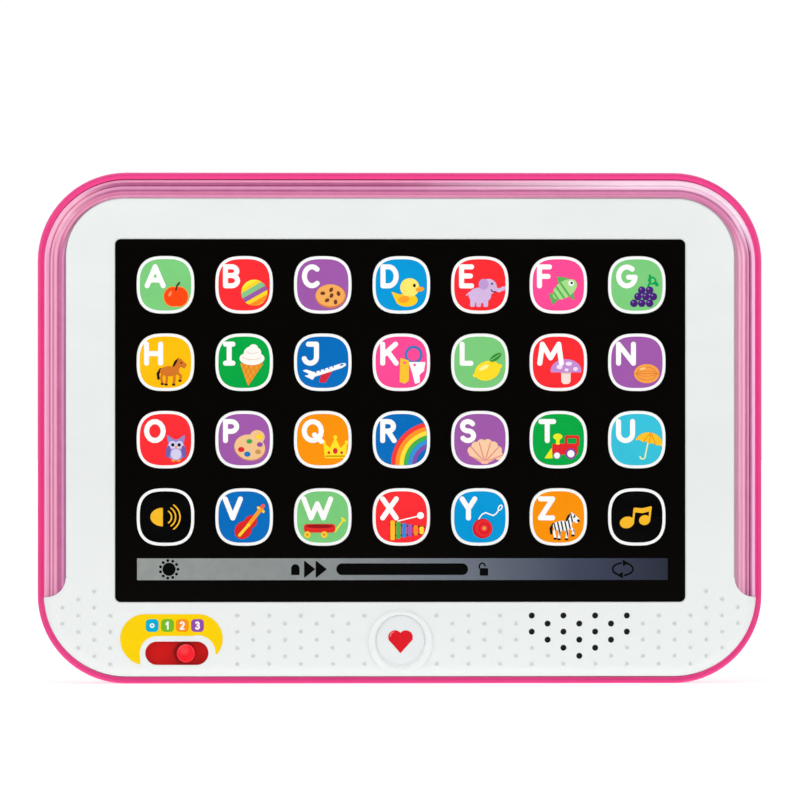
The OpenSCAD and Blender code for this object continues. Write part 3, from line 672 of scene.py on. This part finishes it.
# A stroke is a list of points in a unit box, and an arc is (centre, radii, from, to) in degrees.
STROKES = {
    "a": [[(0, 0), (.5, 1), (1, 0)], [(.2, .3), (.8, .3)]],
    "b": [[(0, 0), (0, 1), (.52, .77, .42, .23, 90, -90), (0, .54)], [(.5, .27, .5, .27, 90, -90), (0, 0)]],
    "c": [[(.52, .5, .52, .5, 48, 312)]],
    "d": [[(0, 0), (0, 1), (.42, .5, .58, .5, 90, -90), (0, 0)]],
    "e": [[(1, 1), (0, 1), (0, 0), (1, 0)], [(0, .52), (.88, .52)]],
    "f": [[(1, 1), (0, 1), (0, 0)], [(0, .5), (.86, .5)]],
    "g": [[(.5, .5, .5, .5, 50, 352), (1, .46), (.6, .46)]],
    "h": [[(0, 0), (0, 1)], [(1, 0), (1, 1)], [(0, .5), (1, .5)]],
    "i": [[(0, 1), (1, 1)], [(.5, 1), (.5, 0)], [(0, 0), (1, 0)]],
    "j": [[(.3, 1), (.86, 1), (.43, .32, .43, .32, 0, -165)]],
    "k": [[(0, 0), (0, 1)], [(.95, 1), (.08, .44)], [(.36, .62), (1, 0)]],
    "l": [[(0, 1), (0, 0), (1, 0)]],
    "m": [[(0, 0), (.12, 1), (.5, .28), (.88, 1), (1, 0)]],
    "n": [[(0, 0), (0, 1), (1, 0), (1, 1)]],
    "o": [[(.5, .5, .5, .5, 0, 360)]],
    "p": [[(0, 0), (0, 1), (.5, .74, .5, .26, 90, -90), (0, .48)]],
    "q": [[(.5, .5, .5, .5, 0, 360)], [(.6, .3), (1, -.04)]],
    "r": [[(0, 0), (0, 1), (.48, .75, .46, .25, 90, -90), (0, .5)], [(.45, .5), (1, 0)]],
    "s": [[(.5, .755, .47, .245, 30, 270), (.5, .255, .5, .255, 90, -150)]],
    "t": [[(0, 1), (1, 1)], [(.5, 1), (.5, 0)]],
    "u": [[(0, 1), (.5, .36, .5, .36, 180, 360), (1, 1)]],
    "v": [[(0, 1), (.5, 0), (1, 1)]],
    "w": [[(0, 1), (.27, 0), (.5, .75), (.73, 0), (1, 1)]],
    "x": [[(0, 0), (1, 1)], [(0, 1), (1, 0)]],
    "y": [[(0, 1), (.5, .48), (1, 1)], [(.5, .48), (.5, 0)]],
    "z": [[(0, 1), (1, 1), (0, 0), (1, 0)]],
    "1": [[(.1, .72), (.6, 1), (.6, 0)]],
    "2": [[(.5, .7, .5, .3, 155, -28), (0, 0), (1, 0)]],
    "3": [[(.46, .75, .46, .25, 150, -90), (.46, .26, .54, .26, 90, -150)]],
}
# Left and right edge of each letter, from the key's centre, in mm
LETTER_X = dict(
    a=(-7.2, .1), b=(-7.3, -1.4), c=(-7.2, -.4), d=(-7.2, -.9), e=(-7.2, -2),
    f=(-7.4, -2.2), g=(-7.2, .3), h=(-7.4, -.8), i=(-7.3, -3), j=(-7.3, -.6),
    k=(-7.3, -.9), l=(-7, -2.2),
    m=(-7.3, 1.9), n=(-7.2, -.3), o=(-7.4, .1), p=(-7.3, -1.7), q=(-7.3, .4),
    r=(-7.3, -1.6), s=(-7, -1.3), t=(-6.9, -.8), u=(-7.2, -.6), v=(-7.4, -.4),
    w=(-7.4, 3.6), x=(-7.3, -.9), y=(-7, -.9), z=(-7.1, -1.1))
LETTER_Y = (-1.2, 7.1)
LETTER_W = 1.75


def glyph(sheet, name, x0, x1, y0, y1, width):
    """A character drawn with round strokes inside a box."""
    pad = width / 2
    shapes = []
    for stroke in STROKES[name]:
        points = []
        for item in stroke:
            points += [item] if len(item) == 2 else bow(item[:2], item[2], item[3], item[4], item[5])
        shapes.append(sheet.line([(x0 + pad + u * (x1 - x0 - width), y0 + pad + v * (y1 - y0 - width))
                                  for u, v in points], width))
    return join(*shapes)


def horse(S):
    """A small horse seen from the side: (body, dark hair, hooves)."""
    o, l, p, b = S.oval, S.line, S.poly, S.box
    legs = ([(-.9, -3.6), (-1.5, -5.4), (-1.1, -7.3)], [(.3, -4), (.5, -5.6), (.2, -7.5)],
            [(3, -4), (3.1, -5.6), (2.8, -7.5)], [(4, -3.6), (5.3, -4.7), (5, -6.2)])
    head = p([(4.2, .3), (5.2, .9), (7.1, -.9), (6.5, -1.9), (4.9, -1.2)], .25)
    body = join(o((1.4, -3.1), 3.3, 1.75), l([(3.4, -2.7), (4.9, -.2)], 1.9), head,
                l([(4.5, .6), (4.6, 1.3)], .6), *[l(leg, .85) for leg in legs])
    tail, mane = [(-1.7, -2.5), (-2.6, -3.9), (-2.4, -5.6)], [(2.9, -1.2), (3.5, .2), (4.4, .9)]
    hair = join(l(tail, .95), l(mane, .9))
    hooves = join(*[b(c, 1.1, .7, .2) for c in ((-1.1, -7.5), (.2, -7.7), (2.8, -7.7), (5, -6.4))])
    return body, hair, hooves


def key_art(S):
    """For each key, its picture as layers of (colour, distances), from the back to the front."""
    o, l, p, b = S.oval, S.line, S.poly, S.box

    def ovals(places, *size):
        return join(*[o(c, *size) for c in places])

    art = {}
    apple = ovals([(2.6, -4.1), (4.6, -4.1)], 3.1, 3.3)
    art["a"] = [
        ((255, 160, 60), apple - .25), ((255, 72, 12), apple),
        ((255, 140, 84), o((1.6, -3.1), .5, 1, -25)),
        ((78, 52, 30), l([(3.6, -1.8), (3.9, -.4), (4.8, .7)], .6))]

    ball = o((3.5, -2.7), 4.5)
    bands = [((132, 198, 140), (2.9, -1.7), 1.7), ((150, 92, 164), (3.7, -3.2), 1.6),
             ((255, 140, 40), (4.9, -5.9), 1.5), ((255, 236, 60), (2.2, 1), 1.4)]
    art["b"] = [((255, 214, 40), ball)] + [(c, both(ball, b(at, 12, h, 0, 30))) for c, at, h in bands]

    chips = [(0, -2.9), (2.9, -1.7), (5.4, -3), (1.5, -5.3), (4.4, -5.9), (3, -3.7)]
    art["c"] = [
        ((214, 128, 62), o((2.7, -3.9), 5.3, 4.1)), ((246, 172, 92), o((2.6, -3.6), 5, 3.8)),
        ((118, 62, 34), join(*[o(c, .85, .62, 20 * c[0]) for c in chips]))]

    tail = p([(-1.6, -5.8), (-3.1, -2.6), (.2, -3.8)], .2)
    art["d"] = [
        ((255, 204, 30), join(o((1.8, -5.2), 3.8, 2.3), tail)),
        ((255, 232, 110), o((2.9, -.9), 3.3, 3.2)),
        ((255, 160, 40), join(o((.9, -5), 1.9, 1.2, 12), o((6.4, -1.5), 1.5, .8, 8))),
        ((60, 36, 20), o((4.5, -.2), .5, .6))]

    legs = [b((x, -6.2), 1.7, 2.7, .5) for x in (-2.5, -.4, 2)]
    trunk = l([(5, -1.2), (6.6, -1.9), (8.3, -1.1)], 1.3)
    tail = l([(-3.7, -2.6), (-4.6, -3.6)], .4)
    smile = l(bow((4.9, -1.5), 1, .9, 190, 300, 8), .4)
    art["e"] = [
        ((214, 184, 226), join(o((0, -3.6), 3.9, 2.7), o((3, -.6), 2.8, 2.7), trunk, tail, *legs)),
        ((190, 156, 212), o((1.3, .2), 1.7, 1.9, 10)), ((70, 40, 80), join(o((4.2, .4), .38), smile))]

    body = o((2.2, -1.5), 4.7, 2.8, 35)
    fins = join(p([(-1, -3.2), (-3, -3.3), (-1.8, -6.4), (-.1, -4.6)], .3),
                p([(.4, .2), (-.2, 2.6), (3, 2.2)], .3), p([(3.4, -3), (5.2, -4.9), (5, -2.2)], .3))
    art["f"] = [
        ((96, 178, 88), fins), ((168, 222, 140), body),
        ((96, 178, 88), both(body, S.stripes(1.9, .7, 35), o((.6, -2.6), 3.4))),
        ((255, 255, 255), o((4.4, .6), .95)), ((30, 40, 30), o((4.6, .7), .45))]

    grapes = [(-1, -6.3), (1.7, -6.3), (4.4, -6.3), (.4, -4), (3.1, -4), (5.7, -4), (1.7, -1.8), (4.4, -1.8)]
    stalk = join(l([(3.9, -.6), (4.6, 1.2), (4.5, 3.3)], .75), l(bow((5.3, 1.5), 1.2, 1.1, 180, -120), .6))
    art["g"] = [
        ((0, 166, 84), join(stalk, o((6.7, .4), 1.1, .6, -50))), ((72, 34, 118), ovals(grapes, 1.32)),
        ((140, 100, 184), ovals([(x - .4, y + .45) for x, y in grapes], .35))]

    body, hair, hooves = horse(S)
    art["h"] = [
        ((40, 28, 24), hair), ((214, 118, 38), body), ((50, 34, 28), hooves),
        ((30, 20, 16), o((5.4, -.2), .3))]

    cone = p([(-1.1, -.6), (6.3, -.6), (1.4, -7.8)], .2)
    waffle = both(cone, join(S.stripes(1.5, .28, 25), S.stripes(1.5, .28, -35)))
    scoops = join(o((2.7, 1.3), 4.3, 2.3), o((2.9, 3.3), 3, 2.2), o((3.2, 5), 1.5, 1.2))
    folds = join(l(bow((2.7, 2.2), 3.4, 1.3, 200, 330), .35), l(bow((2.9, 4), 2.2, 1, 200, 330), .35))
    art["i"] = [
        ((242, 158, 48), cone), ((224, 132, 30), waffle), ((252, 248, 242), scoops),
        ((236, 222, 206), folds)]

    hull = join(l([(-4.4, -4.7), (-1, -3.6), (6.4, -1.2)], 1.6), o((6.6, -1.1), 1.5, .7, 18))
    tail = join(p([(-4, -4.2), (-6.6, -2.9), (-5.6, -2.7), (-3, -3.6)], .2),
                p([(-4.6, -4.6), (-6, -4.7), (-3.6, -5.9), (-3, -5.2)], .15))
    windows = ovals([(x, -2.7 + x * .32) for x in (-2.4, -.9, .6, 2.1, 3.6)], .3)
    art["j"] = [
        ((214, 40, 66), p([(-.2, -3.4), (3.4, -2.6), (.9, -6.8), (-1, -6.8)], .2)),
        ((250, 252, 253), join(hull, tail)), ((60, 130, 200), join(windows, o((6.5, -.9), .7, .3, 18)))]

    yellow = join(p([(0, 1), (2.3, .3), (2.2, -6.2), (-.2, -6.6)], .4), o((1, -6.1), 1.2))
    white = p([(2.9, -.2), (8, -.2), (7.5, -2.9), (6, -4.2), (6.1, -6.8), (4.9, -7.1), (4.1, -3.8)], .3)
    art["k"] = [
        ((62, 120, 190), cut(o((4.2, 2.6), 3.1), o((4.2, 2.6), 2.2))),
        ((255, 196, 50), cut(yellow, o((1.1, -.2), .45))),
        ((252, 252, 252), cut(white, o((4.6, -.9), .45)))]

    lemon = join(o((2.6, -2.9), 4.5, 3.3, 20), o((6.6, -1.4), 1.1, .8, 20), o((-1.5, -4.4), 1, .7, 20))
    art["l"] = [
        ((255, 222, 40), lemon), ((255, 246, 150), o((1.4, -1.8), 1.9, .7, 25)),
        ((46, 140, 60), o((5.4, 1.7), 2.3, 1, 35)), ((150, 210, 110), l([(3.8, .7), (6.8, 2.7)], .25))]

    cap = both(o((2.6, -2.9), 5.3, 4), S.above(-3.5))
    dots = join(o((.4, -1.6), 1, .8), o((3.6, -.5), 1.1, .7), o((5.9, -2.3), .8, .7), o((2.8, -2.6), .7, .5))
    art["m"] = [
        ((250, 226, 214), b((2.6, -5.2), 3.2, 4.6, 1.2)), ((200, 142, 212), cap),
        ((244, 226, 248), dots), ((224, 190, 178), b((2.6, -3.75), 3.6, .5, .2))]

    nut = o((3.4, -3.9), 4.4, 3.3)
    grooves = [l(bow((3.4, -3.9), 3.4, h, s, s + 180, 18), .26) for h in (.9, 2.2) for s in (0, 180)]
    seam = l([(-1, -3.9), (7.6, -3.9)], .35)
    art["n"] = [
        ((250, 162, 72), nut), ((226, 134, 54), both(nut, join(seam, *grooves))),
        ((255, 210, 140), o((2, -2.2), 1.1, .35, 15))]

    ears = join(p([(1, -.8), (.7, 1.4), (2.8, -.1)], .2), p([(6.2, -.8), (6.5, 1.4), (4.4, -.1)], .2))
    beak = p([(3.2, -2.3), (4, -2.3), (3.6, -3.2)], .1)
    art["o"] = [
        ((150, 140, 205), join(o((3.6, -3.6), 3.2, 3.7), ears)),
        ((214, 208, 240), join(ovals([(2.4, -1.8), (4.8, -1.8)], 1.35), o((3.6, -5), 1.8, 1.9))),
        ((110, 96, 170), join(o((.9, -4.2), .8, 2.1, -8), o((6.3, -4.2), .8, 2.1, 8))),
        ((40, 34, 60), ovals([(2.5, -1.8), (4.7, -1.8)], .6)),
        ((255, 160, 40), join(beak, ovals([(2.7, -7.2), (4.5, -7.2)], .7, .4)))]

    palette = cut(join(o((1.9, -2.6), 5.3, 4.3, -12), o((4.5, .9), 2.6, 2.4)), o((4.8, -4.2), 1, .8))
    art["p"] = [
        ((206, 148, 92), o((1.95, -2.85), 5.4, 4.4, -12)), ((245, 197, 142), palette),
        ((226, 40, 50), o((-1, -3.4), 1.1, .9)), ((30, 120, 200), o((1.1, -5), 1.1, .9)),
        ((255, 214, 40), o((5.2, 1), 1.1, .9)), ((60, 170, 80), o((1.8, -.6), 1, .8)),
        ((150, 80, 170), o((5.4, -1.7), 1, .8))]

    crown = p([(.9, -6.2), (7.7, -6.2), (8.2, -1.2), (6, -3.2), (4.3, .4), (2.6, -3.2), (.4, -1.2)], .2)
    art["q"] = [
        ((255, 228, 40), join(crown, ovals([(8.2, -.9), (.4, -.9)], .65), o((4.3, .8), .7))),
        ((214, 150, 0), b((4.3, -5.7), 6.8, .5, .2)),
        ((226, 40, 60), join(o((4.3, -3.9), .8, 1), ovals([(2.1, -4.5), (6.5, -4.5)], .5)))]

    inside = S.field(KEY_R - RING_W - .05)
    bands = [((250, 60, 60), 14.6), ((255, 150, 40), 13.15), ((255, 226, 60), 11.7), ((70, 180, 80), 10.25),
             ((50, 150, 220), 8.8), ((130, 80, 170), 7.35)]
    art["r"] = [(c, both(inside, cut(o((11.1, -8.5), r), o((11.1, -8.5), r - 1.45)))) for c, r in bands]

    edge = [(1.7 + 4.9 * math.cos(a), -5.6 + 4.4 * math.sin(a)) for a in np.radians(range(0, 181, 26))]
    fan = p([(-3.4, -5.4), (1.2, -8), (2.4, -8), (6.8, -5.4), (5.6, -2), (1.7, -.6), (-2.2, -2)], .3)
    fan = join(fan, ovals(edge, 1.5))
    ribs = [l([(1.7, -7.8), (1.7 + 7 * math.cos(a), -7.8 + 7 * math.sin(a))], .38)
            for a in np.radians((22, 48, 74, 106, 132, 158))]
    art["s"] = [
        ((250, 206, 168), fan), ((232, 140, 130), both(fan, join(*ribs))),
        ((250, 186, 160), p([(.2, -7.4), (3.2, -7.4), (2.6, -8.2), (.8, -8.2)], .2))]

    cab = cut(b((4.7, -.4), 4.9, 3.7, .5), b((4.7, -.5), 3.1, 2, .3))
    plough = p([(-2.4, -3.2), (-4.5, -6.3), (-2.2, -6.3)], .2)
    art["t"] = [
        ((228, 38, 44), join(b((2.3, -3.3), 8.8, 3.8, .5), cab)),
        ((236, 236, 40), join(o((-.2, 1), 1.6, 1.1), b((-.2, -.4), 1.3, 2.6, .2), plough)),
        ((130, 70, 160), join(o((-.5, -5.5), 1.25), o((4.3, -4.9), 1.9))),
        ((250, 250, 250), join(o((-.5, -5.5), 1.05), o((4.3, -4.9), 1.25)))]

    dome = both(o((4.2, -1.8), 4.9, 4.3, -14), p([(-2, .1), (10, -2.9), (10, 9), (-2, 9)]))
    handle = l([(3.9, -.6), (2.9, -5.6), *bow((2, -5.7), .9, 1, 0, -170, 8)], .5)
    hollows = ovals([(.7, -.8), (3, -1.4), (5.3, -2), (7.6, -2.6)], 1.1, .7, -14)
    spokes = join(*[l([(4.9, 2.5), tip], .3) for tip in ((2, -1), (4.2, -1.5), (6.6, -2.1))])
    art["u"] = [
        ((232, 240, 170), handle), ((255, 196, 40), cut(dome, hollows)),
        ((240, 150, 20), both(dome, spokes))]

    body = join(o((-.3, -4.5), 3.3, 2.8, 52), o((2.2, -1.7), 2.5, 2.1, 52), l([(0, -4), (2, -1.8)], 3))
    pegs = ovals([(4.9, 3.2), (6.6, 1.9)], .5)
    art["v"] = [
        ((222, 40, 34), body), ((255, 158, 40), l([(1.4, -2.9), (6.2, 3.3)], 1.35)),
        ((255, 214, 60), join(l([(-1.6, -6.3), (1.6, -2.6)], 1), pegs)),
        ((236, 96, 90), o((6.4, 3.7), .85, .7, 52))]

    wheels = [(-5.3, -6.1), (.5, -6.1)]
    art["w"] = [
        ((236, 228, 60), join(l([(4.2, -5), (6.9, -1.2)], .65), l([(6.6, -.4), (7.7, -1.3)], .7))),
        ((230, 44, 40), b((-1.1, -3.9), 10.8, 3, 1.1)), ((160, 20, 30), o((-1.1, -3.2), 4.6, .65)),
        ((255, 206, 50), ovals(wheels, 1.15)), ((226, 150, 40), ovals(wheels, .45))]

    bars = [((255, 196, 40), -3), ((70, 180, 80), -1), ((40, 140, 220), 1), ((160, 90, 180), 3),
            ((255, 140, 40), 5), ((255, 226, 60), 7)]
    rails = join(l([(-3.9, -2.6), (7.8, -3.5)], .6), l([(-3.9, -6.6), (7.8, -5.7)], .6))
    mallet = join(l([(-1.2, -1.4), (6.4, .4)], .45), o((6.6, .5), 1.2))
    art["x"] = [((120, 30, 30), rails)]
    art["x"] += [(c, b((x, -4.6), 1.5, 6.8 - .42 * (x + 3), .5)) for c, x in bars]
    art["x"] += [((252, 252, 252), mallet)]

    string = [(-.5, -2), (-.3, -.6), (.6, .8), (2, 1.5), (3.4, .9), (4.6, .5), (5.7, 1.2), (6.4, 2.3)]
    loop = o((7, 3.2), 1.15, .75, 60)
    art["y"] = [
        ((250, 252, 255), join(l(string, .45), cut(loop, loop + .42))), ((206, 24, 34), o((.9, -4), 3.4)),
        ((236, 40, 48), o((1.3, -3.9), 3)),
        ((206, 24, 34), cut(o((1.5, -3.9), 1.9), o((1.5, -3.9), 1.5))),
        ((244, 150, 80), o((1.5, -3.9), .7))]

    body, hair, hooves = horse(S)
    coat = both(body + .1, S.stripes(1.25, .5, 12), cut(body, o((6.2, -1.1), 1.2)))
    art["z"] = [
        ((24, 22, 24), hair), ((250, 250, 250), body),
        ((24, 22, 24), join(coat, hooves, o((5.4, -.1), .3), o((6.9, -1.3), .5)))]

    amber = (250, 188, 40)
    waves = [l(bow((-.6, 0), rx, h, -52, 52, 14), .5) for rx, h in ((2.7, 2.5), (4.1, 3.9), (5.6, 5.2))]
    art["sound"] = [(amber, join(both(o((-.9, 0), 4.3, 3.2), b((-3.3, 0), 4.8, 8)), *waves))]
    heads = join(o((-3.4, -1.9), 2.5, 2, 15), o((2.7, -1.1), 1.95, 1.7, 15))
    stems = join(l([(-1.3, -1.6), (-.8, 2.8)], .7), l([(4.3, -.8), (4.8, 3.3)], .7))
    beam = p([(-.9, 1.7), (-.8, 3.1), (2, 2.9), (4.9, 3.6), (4.8, 2.1), (2, 1.4)], .1)
    art["music"] = [(amber, join(heads, stems, beam))]
    return art


def ring_piece(name, at, body):
    """The white ring that wraps a key's edge: a closed section swept round the outline."""
    # distance out from the key's side, and height above its front, in mm
    section = [(-RING_W, -SINK), (-RING_W, 0.05), (-RING_W + .12, .09), (-.5, .11), (-.2, .09), (.02, .02),
               (.05, -.12), (.05, -.8), (-.1, -.85), (-.5, -.3)]
    steps = 144
    verts, faces = [], []
    for i in range(steps):
        a = 2 * math.pi * i / steps
        c, s = math.cos(a), math.sin(a)
        k = KEY_R * (abs(c) ** KEY_POWER + abs(s) ** KEY_POWER) ** (-1 / KEY_POWER)
        px, py = k * c, k * s
        nx = math.copysign(abs(px) ** (KEY_POWER - 1), px)
        ny = math.copysign(abs(py) ** (KEY_POWER - 1), py)
        size = math.hypot(nx, ny)
        for out, up in section:
            x, y = px + out * nx / size, py + out * ny / size
            verts.append((at.x + x * MM, at.y - up * MM, at.z + y * MM))
    m = len(section)
    for i in range(steps):
        for j in range(m):
            a, b = i * m + j, i * m + (j + 1) % m
            c, d = (i + 1) % steps * m + (j + 1) % m, (i + 1) % steps * m + j
            faces.append((a, b, c, d))
    mesh = bpy.data.meshes.new(name)
    mesh.from_pydata(verts, [], faces)
    mesh.materials.append(WHITE)
    mesh.polygons.foreach_set("use_smooth", [True] * len(faces))
    mesh.update()
    carried(name, mesh, body)


sheet = Sheet(10.4, 10.4, 0.07)
art = key_art(sheet)
for key in KEY_NAMES:
    short = key[4:]
    at = centre_of(key)
    layers = [(ink(*c), sheet, d, PRINT + PRINT_STEP * i) for i, (c, d) in enumerate(art[short])]
    if short in LETTER_X:
        letter = glyph(sheet, short, *LETTER_X[short], *LETTER_Y, LETTER_W)
        layers.append((LETTER, sheet, letter, PRINT + PRINT_STEP * len(layers)))
    printed("print_" + short, at, layers, key)
    ring_piece("ring_" + short, at, key)


# ---- status bar and labels

BAR_W, BAR_H = 182.9, 7.5
BAR_X, BAR_Y = 0.75, -48.65     # its middle, from the middle of the toy, mm


def bar_material():
    """Printed bar that fades from light grey at the left to slate at the right."""
    n = Nodes("status_bar")
    left, right = (BAR_X - BAR_W / 2) * MM, (BAR_X + BAR_W / 2) * MM
    fade = n.ramp(n.span(n.axis("X"), left, right), (0, 152, 157, 154), (36, 140, 146, 146),
                  (62, 108, 116, 129), (82, 62, 71, 92), (100, 36, 42, 62))
    colour = n.mix(n.span(n.noise(300, 4), 0.35, 0.7, 0, 0.12), fade, (0.05, 0.05, 0.06, 1))
    n.bump(n.noise(1200, 3), 0.05, 0.00004)
    return n.set(Base_Color=colour, Roughness=0.3, Coat_Weight=0.1)


def bar_icons(B):
    """Sun, padlock and arrows, slider, open padlock, and two arrows going round."""
    sun, shut, opened, around = -79.7, -36.2, 28.8, 76.7
    rays = [B.oval((sun + 3.05 * math.cos(a), 3.05 * math.sin(a)), .5)
            for a in np.arange(11) * 2 * math.pi / 11]
    locks = [both(B.oval((shut, .3), 1.45), B.above(.2)), B.box((shut, -.85), 2.9, 2.3, .15),
             B.box((opened, -.95), 2.9, 2.6, .3),
             B.line(bow((opened - .6, .9), 1, 1.15, 10, 180, 10) + [(opened - 1.6, .4)], .5)]
    arrows = [B.poly([(x - 1.75, -2.75), (x - 1.75, 2.75), (x + 1.75, 0)], .15) for x in (-31.3, -27.3)]
    arcs = [B.line(bow((around, 0), 3.5, 2.1, a, b), .6)
            for a, b in ((190, 100), (58, 10), (10, -80), (-122, -170))]
    tips = [B.poly([(around + k * .1, k * 3.1), (around + k * .1, k * 1.1), (around + k * 1.8, k * 2.1)], .1)
            for k in (1, -1)]
    return join(B.oval((sun, 0), 2.25), B.box((.6, 0), 45.4, 4, 2), *rays, *locks, *arrows, *arcs, *tips)


B = Sheet(94, 4.6, 0.1)
bar_at = Vector((0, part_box("screen_panel")[0].y, MID_Z + BAR_Y * MM))
printed("status_bar", bar_at, [(bar_material(), B, B.box((BAR_X, 0), BAR_W, BAR_H, .15), GROUND),
                               (ink(8, 8, 8), B, bar_icons(B), OVER)], "housing")

# The four labels of the slider's stops: a small circle, then 1 to 3
T = Sheet(12.4, 3.4, 0.05)
LABEL_X, LABEL_Y = -77.7, -68.0     # their middle, from the middle of the toy, mm
label_at = Vector((LABEL_X * MM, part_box("slider_decal")[0].y, MID_Z + LABEL_Y * MM))
spots = [(-7.8, (0, 175, 214)), (-2.5, (120, 190, 40)), (2.55, (255, 150, 20)), (7.8, (150, 80, 170))]
layers = [(ink(*c), T, T.box((x, 0), 4.4, 4.4, 1.3), GROUND) for x, c in spots]
first = (spots[0][0], 0)
signs = [glyph(T, str(i), spots[i][0] - .85, spots[i][0] + .85, -1.45, 1.45, .62) for i in (1, 2, 3)]
layers.append((LETTER, T, join(cut(T.oval(first, .8), T.oval(first, .36)), *signs), OVER))
printed("slider_labels", label_at, layers, "housing")

# Heart on the home button. The button is domed, so the heart starts a little behind its middle.
H = Sheet(7, 7, 0.05)
heart = join(H.oval((-1.85, .9), 2.35, 2.3), H.oval((1.85, .9), 2.35, 2.3),
             H.poly([(-3.9, .1), (0, -4.3), (3.9, .1), (1.9, 1.6), (-1.9, 1.6)], .25))
glint = H.line(bow((-2, 1.3), 1.5, 1.4, 105, 185), .45)
layers = [(ink(226, 28, 40), H, heart, 0.14), (ink(255, 120, 110), H, glint, 0.16)]
printed("home_heart", centre_of("home_button") + Vector((0, 0.1 * MM, 0)), layers, "home_button")


# ---- floor and lights

def floor_material():
    """White paper that brightens into the backdrop. In reflections it's grey, as a darker room is."""
    n = Nodes("floor_paper")
    seen = n.math("SUBTRACT", 1, n.ray("Glossy"))
    far = n.span(n.vector("LENGTH", n.here), 0.4, 2.5, 0.56, 1.1)
    n.bump(n.noise(700, 4), 0.03, 0.0003)
    ahead = n.span(n.axis("Y"), -2.5, -0.4, 0.01, 0.25)
    dim = n.new("CombineColor", Red=ahead, Green=ahead, Blue=ahead).outputs[0]
    return n.set(Base_Color=n.mix(seen, dim, (0.72, 0.72, 0.72, 1)), Specular_IOR_Level=0.1,
                 Roughness=n.span(n.noise(9, 4), 0.3, 0.7, 0.90, 0.94),
                 Emission_Color=(1, 1, 1, 1), Emission_Strength=n.times(seen, far))


bpy.ops.mesh.primitive_plane_add(size=30, location=(0, 0, 0))
floor = bpy.context.object
floor.name = "floor"
floor.data.materials.append(floor_material())

# White where the camera sees it. It lights the toy evenly, and its front half is dim in reflections.
world = bpy.data.worlds.new("studio")
SCENE.world = world
world.use_nodes = True
world.node_tree.nodes.clear()
w = Nodes(world)
mirrored = w.span(w.axis("Y", w.coords["Generated"]), -0.7, 0.1, 0.015, 1)
level = w.new("Mix", _0=w.ray("Glossy"), _2=0.33, _3=mirrored).outputs[0]
unseen, seen = (w.new("Background", Color=(1, 1, 1, 1), Strength=s).outputs[0] for s in (level, 1.02))
w.new("OutputWorld", Surface=w.new("MixShader", _0=w.ray("Camera"), _1=unseen, _2=seen).outputs[0])


AIM = Vector((0, 0, 0.088))     # the middle of the toy, m


def softbox(name, at, size, power):
    data = bpy.data.lights.new(name, "AREA")
    data.shape = "RECTANGLE"
    data.size, data.size_y = size
    data.energy = power
    lamp = bpy.data.objects.new(name, data)
    SCENE.collection.objects.link(lamp)
    lamp.location = at
    lamp.rotation_mode = "QUATERNION"
    lamp.rotation_quaternion = (AIM - Vector(at)).to_track_quat("-Z", "Y")


softbox("key_left", (-1.1, -1.05, 0.75), (0.9, 0.9), 7.6)
softbox("fill_right", (1.2, -1, 0.55), (0.9, 0.9), 5.8)
softbox("top", (0, -0.25, 1.5), (1.4, 0.8), 4.3)
softbox("back_rim", (0.3, 1.4, 1.2), (1.4, 0.8), 6)

# Camera nearly square on to the face: the photo shows a little more of the left rim than of the
# right one. It's far back, as the photo shows no perspective.
DISTANCE = 2.2
SEEN_WIDTH = 0.2770     # width of the picture at the tablet, m
TURN = math.radians(1.2)
SENSOR = 36
cam_data = bpy.data.cameras.new("camera")
cam = bpy.data.objects.new("camera", cam_data)
SCENE.collection.objects.link(cam)
cam.location = (-DISTANCE * math.sin(TURN), -DISTANCE * math.cos(TURN), MID_Z)
cam.rotation_euler = (math.radians(90), 0, -TURN)
cam_data.sensor_width = SENSOR
cam_data.lens = SENSOR * DISTANCE / SEEN_WIDTH
cam_data.shift_x, cam_data.shift_y = 0.00025, 0.035
cam_data.clip_start, cam_data.clip_end = 0.05, 60
SCENE.camera = cam
SCENE.view_settings.view_transform = "Standard"
